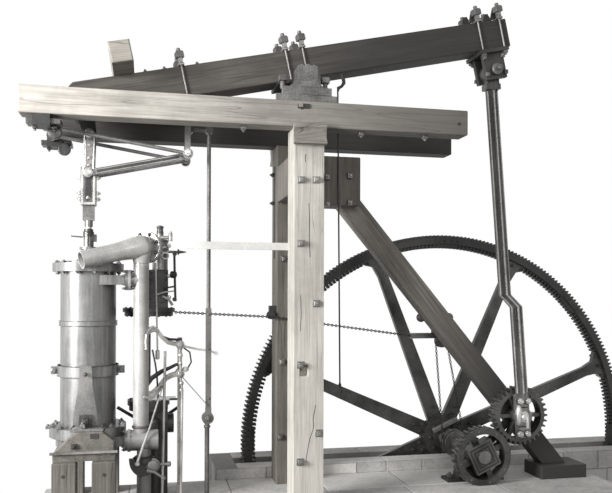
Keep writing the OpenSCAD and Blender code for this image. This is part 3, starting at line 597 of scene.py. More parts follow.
def band_faces(rows: int, sides: int) -> list[tuple[int, ...]]:
    """Lists the faces between rings of points.

    Args:
        rows: number of rings.
        sides: points in a ring.

    Returns:
        The four-sided faces, ring by ring.
    """
    faces: list[tuple[int, ...]] = []
    for row in range(rows - 1):
        a, b = row * sides, (row + 1) * sides
        faces += [(a + k, a + (k + 1) % sides, b + (k + 1) % sides, b + k) for k in range(sides)]
    return faces


def end_faces(rows: int, sides: int) -> list[tuple[int, ...]]:
    """Returns: the first and last ring of points as two faces."""
    return [tuple(reversed(range(sides))), tuple(range((rows - 1) * sides, rows * sides))]


class Shape:
    """A mesh in the part's frame, added up from extruded, turned and swept solids."""

    def __init__(self) -> None:
        """Starts with nothing in it."""
        self.points: list[Vector] = []
        self.faces: list[tuple[int, ...]] = []
        self.tints: list[float] = []

    def add(
        self,
        points: Iterable[Sequence[float]],
        faces: Iterable[tuple[int, ...]],
        place: Matrix,
        tint: float = 0.5,
    ) -> None:
        """Adds a closed solid.

        Args:
            points: its corners.
            faces: its faces, by number of corner.
            place: where it goes.
            tint: its shade from 0 to 1.
        """
        start = len(self.points)
        self.points.extend(place @ Vector(point) for point in points)
        before = len(self.faces)
        self.faces.extend(tuple(start + index for index in face) for face in faces)
        self.tints.extend([tint] * (len(self.faces) - before))

    def prism(
        self,
        outline: Sequence[Flat],
        low: float,
        high: float,
        place: Matrix,
        taper: float = 1.0,
        tint: float = 0.5,
    ) -> None:
        """Extrudes an outline along Z.

        Args:
            outline: its corners, counter-clockwise.
            low: height of the near end.
            high: height of the far end.
            place: where it goes.
            taper: size of the far end against the near one.
            tint: its shade from 0 to 1.
        """
        count = len(outline)
        points = [(x, y, low) for x, y in outline] + [(x * taper, y * taper, high) for x, y in outline]
        self.add(points, end_faces(2, count) + band_faces(2, count), place, tint)

    def panel(self, size: Flat, low: float, high: float, place: Matrix, taper: float, tint: float) -> None:
        """Extrudes a rectangle along Z.

        Args:
            size: of the rectangle.
            low: height of the near end.
            high: height of the far end.
            place: where it goes.
            taper: size of the far end against the near one.
            tint: its shade from 0 to 1.
        """
        x, y = size[0] / 2, size[1] / 2
        self.prism([(-x, -y), (x, -y), (x, y), (-x, y)], low, high, place, taper, tint)

    def box(self, middle: Point, size: Point, turn: Matrix = Matrix.Identity(4)) -> None:
        """Adds a box.

        Args:
            middle: of the box.
            size: of the box.
            turn: about its middle.
        """
        half = size[2] / 2
        self.panel(size[:2], -half, half, Matrix.Translation(middle) @ turn, 1.0, 0.5)

    def lathe(
        self, profile: Sequence[Flat], at: Sequence[float], axis: Sequence[float] = UP, steps: int = 20
    ) -> None:
        """Turns a profile round an axis.

        Args:
            profile: pairs of radius and height, up the outside.
            at: foot of the axis.
            axis: its direction.
            steps: sides of the turned solid.
        """
        points = [(x, y, height) for radius, height in profile for x, y, _ in around(steps, radius, 0)]
        faces = end_faces(len(profile), steps) + band_faces(len(profile), steps)
        self.add(points, faces, Matrix.Translation(at) @ turned_to(axis))

    def sweep(
        self,
        path: Sequence[Sequence[float]],
        radius: Union[float, Sequence[float]],
        sides: int = 10,
        flat: float = 1.0,
    ) -> None:
        """Runs a round or flattened bar along a path.

        Args:
            path: its points.
            radius: one for all of the path, or one for each point.
            sides: of the bar.
            flat: height of the section against its width.
        """
        line = [Vector(point) for point in path]
        radii = [radius] * len(line) if isinstance(radius, (int, float)) else list(radius)
        points: list[Vector] = []
        side = Vector(BACK)
        for k, point in enumerate(line):
            way = (line[min(k + 1, len(line) - 1)] - line[max(k - 1, 0)]).normalized()
            if abs(way.dot(side)) > 0.9:
                side = way.orthogonal()
            side = (side - way * way.dot(side)).normalized()
            up = way.cross(side)
            for step in range(sides):
                angle = math.tau * step / sides
                points.append(point + radii[k] * (math.cos(angle) * side + flat * math.sin(angle) * up))
        faces = end_faces(len(line), sides) + band_faces(len(line), sides)
        self.add(points, faces, Matrix.Identity(4))

    def nut(
        self,
        at: Sequence[float],
        axis: Sequence[float],
        width: float,
        sides: int = 4,
        height: float = 0.7,
        turn: float = 0.0,
        stud: float = 0.3,
    ) -> None:
        """Adds a nut with the end of its stud.

        Args:
            at: where it sits.
            axis: out of the face.
            width: across flats.
            sides: 4 or 6.
            height: against the width.
            turn: about the axis in degrees.
            stud: its length against the width.
        """
        corner = width / 2 / math.cos(math.pi / sides)
        outline = [(x, y) for x, y, _ in around(sides, corner)]
        turned = Matrix.Rotation(math.radians(turn), 4, "Z")
        place = Matrix.Translation(at) @ turned_to(axis) @ turned
        top = height * width
        self.prism(outline, 0.0, height * width * 0.75, place)
        self.prism(outline, height * width * 0.75, top, place, 0.78)
        end = (height + stud) * width
        self.lathe([(width * 0.27, top), (width * 0.27, end), (width * 0.2, end + 0.004)], at, axis, 10)

    def link(self, place: Matrix, length: float, wire: float) -> None:
        """Adds one oval link of a chain.

        Args:
            place: its middle, with Z along the chain.
            length: of the link.
            wire: radius of its wire.
        """
        bends, sides = 10, 5
        half, wide = length / 2 - wire, length * 0.3
        points: list[Point] = []
        for bend, (x, rise, _) in enumerate(around(bends, wide, 0)):
            middle = (half - wide) * (1 if bend < bends / 2 else -1)
            z = middle + rise
            out = Vector((x, 0, z - middle)).normalized()
            for across, depth, _ in around(sides, wire, 0):
                points.append((x + across * out.x, depth, z + across * out.z))
        faces = band_faces(bends, sides)
        last = (bends - 1) * sides
        faces += [(last + c, last + (c + 1) % sides, (c + 1) % sides, c) for c in range(sides)]
        self.add(points, faces, place)

    def chain(self, start: Sequence[float], end: Sequence[float], length: float, wire: float) -> None:
        """Runs a straight chain between two points.

        Args:
            start: of the chain.
            end: of the chain.
            length: of one link.
            wire: radius of its wire.
        """
        a, b = Vector(start), Vector(end)
        count = max(2, round((b - a).length / (length * 0.72)))
        for k in range(count):
            turned = Matrix.Rotation(math.radians(90 * (k % 2)), 4, "Z")
            middle = Matrix.Translation(a.lerp(b, (k + 0.5) / count))
            self.link(middle @ turned_to(b - a) @ turned, length, wire)

    def make(
        self,
        name: str,
        paint: Paintbox,
        finish: Finish,
        bevel: float = 0.0,
        smooth: float = 32.0,
    ) -> bpy.types.Object:
        """Turns the shape into a piece that rides on the part.

        Args:
            name: of the piece.
            paint: the paintbox.
            finish: its finish.
            bevel: width of its worn edges.
            smooth: angle in degrees under which edges look round.

        Returns:
            The piece.
        """
        mesh = bpy.data.meshes.new(name)
        mesh.from_pydata([tuple(point) for point in self.points], [], self.faces)
        mesh.validate()
        tint = mesh.attributes.new("tint", "FLOAT", "FACE")
        if len(mesh.polygons) == len(self.tints):
            tint.data.foreach_set("value", self.tints)
        mesh.shade_smooth()
        mesh.set_sharp_from_angle(angle=math.radians(smooth))
        mesh.materials.append(paint.get(finish))
        piece = bpy.data.objects.new(name, mesh)
        bpy.context.scene.collection.objects.link(piece)
        if bevel:
            wear_edges(piece, bevel, PIECE_SHARP)
        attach(piece, "root")
        LOG.info("piece %s: %d faces, finish %s", name, len(mesh.polygons), finish.value.name)
        return piece


# Sub-assemblies


@dataclass(frozen=True)
class TiltedBeam:
    """Places along the rocking beam."""

    gudgeon: float = FLOOR + 4.19
    tilt: float = math.radians(12.3)
    rise: float = 0.062
    depth: float = 0.305

    def at(self, along: float, up: float, y: float) -> Point:
        """Finds a place on the beam.

        Args:
            along: from the gudgeon, in the beam's own frame.
            up: from the gudgeon, in the beam's own frame.
            y: across the engine.

        Returns:
            The point in the part's frame.
        """
        c, s = math.cos(self.tilt), math.sin(self.tilt)
        return (along * c - up * s, y, self.gudgeon + along * s + up * c)

    def over(self, along: float, gap: float, y: float) -> Point:
        """Returns: a point a little way over the beam's top."""
        return self.at(along, self.rise + self.depth + gap, y)

    def up(self) -> Point:
        """Returns: the direction out of the beam's top."""
        return (-math.sin(self.tilt), 0.0, math.cos(self.tilt))

    def down(self) -> Point:
        """Returns: the direction out of the beam's underside."""
        return tuple(-part for part in self.up())


BEAM = TiltedBeam()


@dataclass
class Masonry:
    """Coursed stones on the bed and round the flywheel pit, and slabs on their tops."""

    paint: Paintbox
    course: float = 0.23
    proud: float = 0.007
    joint: float = 0.009
    # How far a stone reaches into the wall behind it
    root: float = -0.002
    bed_slab: float = 0.9
    kerb_slab: float = 0.8
    chance: random.Random = field(default_factory=lambda: random.Random(7))

    def wall(self, shape: Shape, start: Flat, end: Flat, low: float, high: float) -> None:
        """Covers one face with stones.

        Args:
            shape: takes the stones.
            start: foot of the face in plan.
            end: other foot, with the outside on the right on the way to it.
            low: height of the foot.
            high: height of the top.
        """
        a, b = Vector((*start, 0.0)), Vector((*end, 0.0))
        way = (b - a).normalized()
        out = Vector((way.y, -way.x, 0.0))
        rows = max(1, round((high - low) / self.course))
        tall = (high - low) / rows
        turn = Matrix((way, Vector((0, 0, 1)), out)).transposed().to_4x4()
        for row in range(rows):
            cuts = [0.0]
            while cuts[-1] < (b - a).length - 0.3:
                cuts.append(cuts[-1] + self.chance.uniform(0.3, 0.62))
            cuts[-1] = (b - a).length
            for left, right in zip(cuts, cuts[1:]):
                centre = a + way * (left + right) / 2 + Vector((0, 0, low + (row + 0.5) * tall))
                face = self.proud + self.chance.uniform(-0.002, 0.003)
                tint = self.chance.uniform(0.1, 1.0)
                size = (right - left - self.joint, tall - self.joint)
                shape.panel(size, self.root, face, Matrix.Translation(centre) @ turn, 0.975, tint)

    def paving(self, shape: Shape, low: Flat, high: Flat, level: float, size: float) -> None:
        """Covers a top with slabs.

        Args:
            shape: takes the slabs.
            low: near left corner in plan.
            high: far right corner in plan.
            level: height of the top.
            size: about the length of a slab.
        """
        rows = max(1, round((high[1] - low[1]) / (size * 0.62)))
        deep = (high[1] - low[1]) / rows
        for row in range(rows):
            cuts = [low[0]]
            while cuts[-1] < high[0] - size * 0.8:
                cuts.append(cuts[-1] + self.chance.uniform(0.75, 1.25) * size)
            cuts[-1] = high[0]
            for left, right in zip(cuts, cuts[1:]):
                centre = ((left + right) / 2, low[1] + (row + 0.5) * deep, level)
                tint = self.chance.uniform(0.2, 1.0)
                slab = (right - left - self.joint, deep - self.joint)
                shape.panel(slab, self.root, 0.004, Matrix.Translation(centre), 0.985, tint)

    def courses(self) -> None:
        """Adds the stones of every outer face."""
        (bed_x0, bed_y0, _), (bed_x1, _, bed_top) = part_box("engine_bed")
        (pit_x0, pit_y0, _), (_, pit_y1, kerb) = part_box("pit_end_wall_left")
        pit_x1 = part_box("pit_end_wall_right")[1][0]
        stones = Shape()
        self.wall(stones, (bed_x0, bed_y0), (bed_x1, bed_y0), 0.0, bed_top)
        self.wall(stones, (bed_x1, bed_y0), (bed_x1, pit_y0), 0.0, bed_top)
        self.wall(stones, (bed_x1, pit_y0), (pit_x1, pit_y0), 0.0, kerb)
        self.wall(stones, (pit_x1, pit_y0), (pit_x1, pit_y1), 0.0, kerb)
        self.wall(stones, (pit_x1, pit_y1), (pit_x0, pit_y1), 0.0, kerb)
        self.wall(stones, (pit_x0, pit_y1), (pit_x0, pit_y0), 0.0, kerb)
        self.wall(stones, (pit_x0, pit_y0), (bed_x0, pit_y0), 0.0, bed_top)
        self.wall(stones, (bed_x0, pit_y0), (bed_x0, bed_y0), 0.0, bed_top)
        self.wall(stones, (pit_x0, pit_y0), (bed_x1, pit_y0), bed_top, kerb)
        stones.make("masonry_courses", self.paint, Finish.STONE, 0.0, 20.0)

    def slabs(self) -> None:
        """Adds the slabs on the bed and on the pit's kerb."""
        slabs = Shape()
        (x0, y0, _), (x1, y1, top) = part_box("engine_bed")
        self.paving(slabs, (x0, y0), (x1, y1), top, self.bed_slab)
        for name in ("pit_front_wall", "pit_back_wall", "pit_end_wall_left", "pit_end_wall_right"):
            (x0, y0, _), (x1, y1, top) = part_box(name)
            self.paving(slabs, (x0, y0), (x1, y1), top, self.kerb_slab)
        slabs.make("masonry_slabs", self.paint, Finish.STONE, 0.0, 20.0)

    def build(self) -> None:
        """Adds the stones and then the slabs."""
        self.courses()
        self.slabs()


@dataclass
class TimberIron:
    """Nuts, straps and pegs of the timber frame, rolls of its bolsters, and the pull rod's hook."""

    paint: Paintbox
    near_face: float = -0.61
    near_depth: float = 0.3
    far_post: Flat = (0.31, 0.61)
    # Nuts and cracks of the posts, in X and height over the floor
    near_nuts: tuple[Flat, ...] = (
        (-0.080, 3.150), (0.068, 3.155), (-0.082, 2.542), (0.071, 1.968),
        (-0.079, 1.379), (0.102, 0.721), (-0.081, 0.451),
    )
    far_nuts: tuple[Flat, ...] = (
        (-0.073, 3.363), (-0.072, 3.061), (-0.070, 2.434), (-0.089, 1.322), (-0.110, 0.514)
    )
    cracks: tuple[tuple[Flat, ...], ...] = (
        ((0.070, 0.992), (0.046, 0.86), (0.052, 0.78), (0.012, 0.66), (-0.010, 0.55), (-0.025, 0.448)),
        ((-0.036, 3.40), (-0.040, 3.36), (-0.034, 3.32)),
        ((-0.002, 2.93), (0.006, 2.76), (0.003, 2.60), (0.012, 2.41)),
        ((-0.08, 2.05), (-0.074, 1.86), (-0.083, 1.70)),
    )
    # Outline of a roll: how far out, and the share of the bolster's height
    roll: tuple[Flat, ...] = (
        (0.0, 0.0), (0.046, 0.03), (0.048, 0.13), (0.030, 0.22), (0.014, 0.38),
        (0.012, 0.6), (0.022, 0.76), (0.038, 0.84), (0.036, 1.0), (0.0, 1.0),
    )
    # Paths of the pull rod's hook and foot, with heights over the floor
    hook: tuple[Point, ...] = (
        (0.450, -0.13, 4.33), (0.468, -0.14, 4.27), (0.468, -0.15, 4.24),
        (0.44, -0.16, 4.20), (0.405, -0.168, 4.18), (0.398, -0.168, 4.14),
    )
    hook_radii: tuple[float, ...] = (0.016, 0.019, 0.019, 0.015, 0.018, 0.0085)
    rod_foot: tuple[Flat, ...] = ((0.430, 1.11), (0.446, 1.09), (0.456, 1.06), (0.448, 1.035), (0.430, 1.025))
    rod_radius: float = 0.0085
    rod_y: float = -0.168

    def timber_nuts(self) -> None:
        """Adds the nuts of the posts, the near spring beam and the head block."""
        nuts = Shape()
        near = (self.near_face, self.near_face + self.near_depth)
        for (front, back), places in ((near, self.near_nuts), (self.far_post, self.far_nuts)):
            for x, z in places:
                for y, way in ((front, FRONT), (back, BACK)):
                    nuts.box((x, y + way[1] * 0.003, FLOOR + z), (0.07, 0.006, 0.07))
                    nuts.nut((x, y + way[1] * 0.006, FLOOR + z), way, 0.052, 4, 0.62, 0.0, 0.2)
        for x in (-0.62, 0.55, 1.22):
            nuts.nut((x, -0.5, FLOOR + 3.66), DOWN, 0.05)
        for z in (3.28, 3.0):
            nuts.nut((0.29, -0.15, FLOOR + z - 0.02), FRONT, 0.056)
            nuts.nut((0.53, -0.15, FLOOR + z), FRONT, 0.056)
        nuts.make("timber_nuts", self.paint, Finish.BAND_IRON, 0.003)

    def post_straps(self) -> None:
        """Adds the far post's strap, the chain roller's bracket, and the near spring beam's plate."""
        straps = Shape()
        straps.box((-0.153, 0.46, FLOOR + 2.95), (0.010, 0.075, 1.0))
        for z in (3.36, 3.05, 2.6):
            straps.nut((-0.158, 0.46, FLOOR + z), LEFT, 0.04)
        straps.box((-0.19, 0.34, FLOOR + 1.86), (0.08, 0.05, 0.14))
        roller = [(0.045, 0.0), (0.045, 0.012), (0.03, 0.016), (0.03, 0.028), (0.045, 0.032), (0.045, 0.044)]
        straps.lathe(roller, (-0.215, 0.28, FLOOR + 1.83), BACK)
        straps.box((0.0, -0.5, FLOOR + 3.912), (0.36, 0.09, 0.008))
        straps.make("post_straps", self.paint, Finish.BLACK_IRON, 0.002)

    def beam_pegs(self) -> None:
        """Adds the pegs of the near spring beam, a near-black box for its mortise as painted shade of the
        hole, and the near post's long cracks.
        """
        pegs = Shape()
        for x, z in ((-0.072, 3.839), (1.541, 3.770)):
            peg = [(0.016, 0.0), (0.016, 0.004), (0.011, 0.005)]
            pegs.lathe(peg, (x, self.near_face, FLOOR + z), FRONT, 12)
        # Near-black box standing proud of the face: painted shade of the mortise's hole
        pegs.box((-0.055, self.near_face - 0.004, FLOOR + 3.857), (0.115, 0.012, 0.046))
        for line in self.cracks:
            pegs.sweep([(x, self.near_face + 0.0015, FLOOR + z) for x, z in line], 0.0035, 6)
        pegs.make("beam_pegs", self.paint, Finish.DARK_SPRING)

    def bolster_rolls(self) -> None:
        """Adds the moulded rolls on both ends of the bolsters, in a darker timber than the bolsters as
        painted shade in the moulding.
        """
        rolls = Shape()
        (_, y0, z0), (x1, y1, z1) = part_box("post_bolsters")
        profile = [(out, part * (z1 - z0)) for out, part in self.roll]
        for side, face in ((-1, y0), (1, y1)):
            place = Matrix(((0, 0, side, 0), (side, 0, 0, face - side * 0.004), (0, 1, 0, z0), (0, 0, 0, 1)))
            rolls.prism(profile, -x1 - 0.004, x1 + 0.004, place)
        # The catch timber is darker than the bolsters' pale one: painted shade in the rolls' hollows
        rolls.make("bolster_rolls", self.paint, Finish.CATCH, 0.003)

    def pull_rod(self) -> None:
        """Adds the pull rod on its hook under the beam."""
        rod, y = self.rod_radius, self.rod_y
        pull = Shape()
        pull.sweep(raised(self.hook), self.hook_radii, 12)
        pull.sweep([(0.398, y, FLOOR + 4.18), (0.430, y, FLOOR + 1.11)], rod, 12)
        eye = [(rod, 0.0), (0.016, 0.012), (0.016, 0.03), (rod, 0.042)]
        pull.lathe(eye, (0.430, y, FLOOR + 1.10), UP, 12)
        pull.sweep([(x, y, FLOOR + z) for x, z in self.rod_foot], rod, 10)
        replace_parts(pull.make("pull_rod_hook", self.paint, Finish.BLACK_IRON), "pull_rod")

    def spring_beam_wedge(self) -> None:
        """Adds the wedge in the near spring beam's mortise."""
        wedge = Shape()
        wedge.box((-0.085, self.near_face - 0.010, FLOOR + 3.862), (0.042, 0.016, 0.034))
        wedge.make("spring_beam_wedge", self.paint, Finish.CATCH, 0.002)

    def build(self) -> None:
        """Adds every piece in order."""
        self.timber_nuts()
        self.post_straps()
        self.beam_pegs()
        self.bolster_rolls()
        self.pull_rod()
        self.spring_beam_wedge()


@dataclass
class BeamIron:
    """Nuts, gussets and caps on the rocking beam and its bearings."""

    paint: Paintbox
    # Straps and bolts, in metres along the beam from its gudgeon
    straps: tuple[float, ...] = (-1.14, -0.075, 0.105, 2.08, 2.335)
    bolts: tuple[float, ...] = (-1.49, -1.30, -0.97, 1.93, 2.16)
    # Outline of the cap's upper part, in X and height over the floor
    crown: tuple[Flat, ...] = (
        (-0.17, 4.061), (0.17, 4.061), (0.115, 4.10), (0.10, 4.13), (0.10, 4.265), (0.055, 4.283),
        (0.04, 4.268), (0.0, 4.286), (-0.04, 4.268), (-0.055, 4.283), (-0.10, 4.265), (-0.10, 4.13),
        (-0.115, 4.10),
    )
    # Middle of the connecting rod's bearing, along the beam and up from the gudgeon
    rod_end: Flat = (2.2, -0.16)

    def beam_nuts(self) -> None:
        """Adds the nuts over and under each strap, and those of the bolts between."""
        nuts = Shape()
        for along in self.straps:
            for side in SIDES:
                y = side * 0.164
                nuts.nut(BEAM.over(along, 0.071, y), BEAM.up(), 0.078, 4, 0.85, 10.0, 0.35)
                washer = [(0.030, 0.0), (0.030, 0.008), (0.024, 0.012)]
                nuts.lathe(washer, BEAM.over(along, 0.016, y), BEAM.up(), 16)
                nuts.nut(BEAM.at(along, BEAM.rise - 0.042, y), BEAM.down(), 0.042)
        for along in self.bolts:
            washer = [(0.026, 0.0), (0.026, 0.006), (0.018, 0.009)]
            nuts.lathe(washer, BEAM.over(along, 0.0, -0.05), BEAM.up(), 14)
            nuts.nut(BEAM.over(along, 0.006, -0.05), BEAM.up(), 0.036)
        nuts.make("beam_nuts", self.paint, Finish.ROD_IRON, 0.002)

    def beam_gussets(self) -> None:
        """Adds the pointed gussets between the last two straps' nuts."""
        gussets = Shape()
        tilted = Matrix.Rotation(-BEAM.tilt, 4, "Y")
        upright = Matrix.Rotation(math.radians(90), 4, "X")
        outline = [(-0.075, 0.0), (0.075, 0.0), (0.02, 0.13), (-0.02, 0.13)]
        for along in self.straps[3:]:
            for side in SIDES:
                foot = Matrix.Translation(BEAM.over(along, 0.016, side * 0.10))
                gussets.prism(outline, -0.011, 0.011, foot @ tilted @ upright)
        gussets.make("beam_gussets", self.paint, Finish.BLACK_IRON, 0.003)

    def gudgeon_caps(self) -> None:
        """Adds the stepped caps over the gudgeon and their bolts."""
        bearing = Shape()
        face = -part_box("gudgeon_bearings")[0][1]
        for side in SIDES:
            y = side * (face - 0.018)
            bearing.box((-0.01, y, FLOOR + 3.948), (0.60, 0.05, 0.072))
            bearing.box((-0.008, y, FLOOR + 4.023), (0.49, 0.044, 0.076))
            place = Matrix.Translation((0.0, y, FLOOR)) @ Matrix.Rotation(math.radians(90), 4, "X")
            bearing.prism(self.crown, -0.02, 0.02, place)
            for x in (-0.235, 0.19):
                bearing.lathe([(0.024, 0.0), (0.024, 0.075)], (x, side * 0.47, FLOOR + 4.05), UP, 14)
                bearing.box((x, side * 0.47, FLOOR + 4.153), (0.078, 0.078, 0.056))
        bearing.make("gudgeon_caps", self.paint, Finish.BEARING_IRON, 0.004)

    def rod_end_nuts(self) -> None:
        """Adds the nuts, caps and oil cup of the connecting rod's bearing."""
        end = Shape()
        along, up = self.rod_end
        for side in SIDES:
            for near in (2.09, 2.31):
                for low in (-0.02, -0.20):
                    end.nut(BEAM.at(near, low, side * 0.13), (0, side, 0), 0.042)
            cap = [(0.062, 0.0), (0.062, 0.018), (0.05, 0.028), (0.018, 0.03)]
            end.lathe(cap, BEAM.at(along, up, side * 0.158), (0, side, 0), 28)
        cup = [(0.02, 0.0), (0.02, 0.03), (0.03, 0.036), (0.03, 0.06), (0.012, 0.066)]
        end.lathe(cup, BEAM.at(along, up, -0.188), FRONT, 16)
        end.make("rod_end_nuts", self.paint, Finish.ROD_IRON, 0.002)

    def build(self) -> None:
        """Adds every piece in order."""
        self.beam_nuts()
        self.beam_gussets()
        self.gudgeon_caps()
        self.rod_end_nuts()


@dataclass
class GearTrain:
    """Nuts and plates on the connecting rod's palm, painted highlights along the rod, and the fittings of the
    sun wheel's shaft.
    """

    paint: Paintbox
    sun: Flat = (2.03, FLOOR + 0.31)
    reach: float = 0.61
    orbit: float = math.radians(44.5)
    front: float = -0.232
    knee: float = 1.19
    # Half width of each raised square, and width of its bars
    squares: tuple[Flat, ...] = ((0.142, 0.012), (0.105, 0.009), (0.066, 0.008))
    # X, how far forward, and radius of each bright bead that stands for a painted highlight along the
    # connecting rod
    highlight_lines: tuple[Point, ...] = ((-0.057, 0.018, 0.010), (0.057, 0.018, 0.008), (0.0, 0.052, 0.011))

    def planet(self) -> Flat:
        """Returns: the planet wheel's middle, in X and Z."""
        return (
            self.sun[0] + self.reach * math.cos(self.orbit),
            self.sun[1] + self.reach * math.sin(self.orbit),
        )

    def palm_spots(self) -> list[Flat]:
        """Returns: where the palm's four bolts are, in X and Z."""
        px, pz = self.planet()
        return [(px + dx, pz + dz) for dx in (-0.042, 0.042) for dz in (-0.185, 0.17)]

    def palm_nuts(self) -> None:
        """Adds the palm's nuts, the pin's stepped head, and the bulge and bar beside it."""
        px, pz = self.planet()
        palm = Shape()
        for x, z in self.palm_spots():
            palm.nut((x, self.front, z), FRONT, 0.062, 6, 0.8, 10.0)
        head = [(0.070, 0.0), (0.070, 0.010), (0.058, 0.020), (0.040, 0.024)]
        head += [(0.040, 0.046), (0.030, 0.056), (0.012, 0.06)]
        palm.lathe(head, (px, self.front - 0.004, pz), FRONT, 36)
        bulge = [(0.010, -0.11), (0.026, -0.09), (0.036, -0.03), (0.038, 0.03), (0.026, 0.09), (0.010, 0.11)]
        palm.lathe(bulge, (px - 0.056, self.front - 0.008, pz + 0.02), UP, 24)
        palm.box((px + 0.012, self.front - 0.075, pz - 0.055), (0.02, 0.028, 0.12))
        palm.make("palm_nuts", self.paint, Finish.BRIGHT, 0.003)

    def palm_seats(self) -> None:
        """Adds the dark seats round the palm's nuts and head."""
        px, pz = self.planet()
        seats = Shape()
        for x, z in self.palm_spots():
            seats.lathe([(0.041, 0.0), (0.041, 0.006), (0.03, 0.008)], (x, self.front, z), FRONT, 24)
        seats.lathe([(0.085, 0.0), (0.085, 0.006), (0.07, 0.009)], (px, self.front, pz), FRONT, 36)
        seats.box((px, self.front - 0.002, pz + 0.10), (0.11, 0.006, 0.012))
        seats.box((px, self.front - 0.002, pz - 0.11), (0.11, 0.006, 0.012))
        seats.make("palm_seats", self.paint, Finish.BLACK_IRON)

    def painted_rod_highlights(self) -> None:
        """Adds bright beads along the connecting rod as painted highlights, which stand forward below the
        knee.
        """
        px, pz = self.planet()
        foot = Vector((px, 0.0, pz))
        top = Vector(BEAM.at(2.2, -0.165, 0.0))
        lean = math.atan2(top.x - foot.x, top.z - foot.z)
        place = Matrix.Translation(foot) @ Matrix.Rotation(lean, 4, "Y")
        length = (top - foot).length
        beads = Shape()
        # Each bead is a painted highlight along the rod
        for x, out, radius in self.highlight_lines:
            low, high = -0.23 - out, -out
            line = [(low, 0.26), (low, self.knee), (high, self.knee + 0.13), (high, length - 0.2)]
            beads.sweep([tuple(place @ Vector((x, y, z))) for y, z in line], radius, 8)
        beads.make("painted_rod_highlights", self.paint, Finish.ROD_HIGHLIGHT)

    def sun_wheel_plate(self) -> None:
        """Adds the raised squares on the sun wheel, its middle and its ring of bolts."""
        sun = Shape()
        turn = Matrix.Rotation(math.radians(-25), 4, "Y")
        sx, sz = self.sun
        for half, wide in self.squares:
            for side in SIDES:
                across = ((2 * half, 0.014, wide), (0.0, 0.0, side * half))
                upright = ((wide, 0.014, 2 * half), (side * half, 0.0, 0.0))
                for size, shift in (across, upright):
                    at = turn @ Vector(shift)
                    sun.box((sx + at.x, -0.195, sz + at.z), size, turn)
        sun.lathe([(0.03, 0.0), (0.03, 0.010), (0.012, 0.018)], (sx, -0.188, sz), FRONT, 24)
        for x, z, _ in around(8, 0.28, 0.3):
            sun.nut((sx + x, -0.198, sz + z), FRONT, 0.02, 6, 0.4)
        sun.make("sun_wheel_plate", self.paint, Finish.ROD_IRON, 0.0015)

    def shaft_collars(self) -> None:
        """Adds the shaft's collars with their screws, and the flanges of its pulley."""
        sx, sz = self.sun
        collar = Shape()
        c, s = math.cos(0.9), math.sin(0.9)
        for y in (0.25, 0.72):
            collar.lathe([(0.098, 0.0), (0.098, 0.05)], (sx, y, sz), BACK, 32)
            collar.nut((sx + 0.098 * c, y + 0.025, sz + 0.098 * s), (c, 0, s), 0.03)
        flange = [(0.128, -0.006), (0.142, -0.004), (0.142, 0.004), (0.128, 0.006)]
        for y in (0.535, 0.665):
            collar.lathe(flange, (sx, y, sz), BACK, 48)
        collar.make("shaft_collars", self.paint, Finish.BAND_IRON, 0.002)

    def shaft_block_nuts(self) -> None:
        """Adds the nuts of the shaft's near and far bearings."""
        sx = self.sun[0]
        blocks = Shape()
        for x in (-0.16, 0.16):
            blocks.nut((sx + x, 0.1, FLOOR + 0.30), UP, 0.05)
            blocks.nut((sx + x * 1.7, 0.1, FLOOR + 0.036), UP, 0.055)
            blocks.nut((sx + x * 0.4, 0.1, FLOOR + 0.418), UP, 0.04)
            blocks.nut((sx + x * 1.7, 1.255, FLOOR + 0.156), UP, 0.055)
            blocks.nut((sx + x * 0.4, 1.255, FLOOR + 0.418), UP, 0.04)
        blocks.make("shaft_block_nuts", self.paint, Finish.ROD_IRON, 0.002)

    def build(self) -> None:
        """Adds every piece in order."""
        self.palm_nuts()
        self.palm_seats()
        self.painted_rod_highlights()
        self.sun_wheel_plate()
        self.shaft_collars()
        self.shaft_block_nuts()


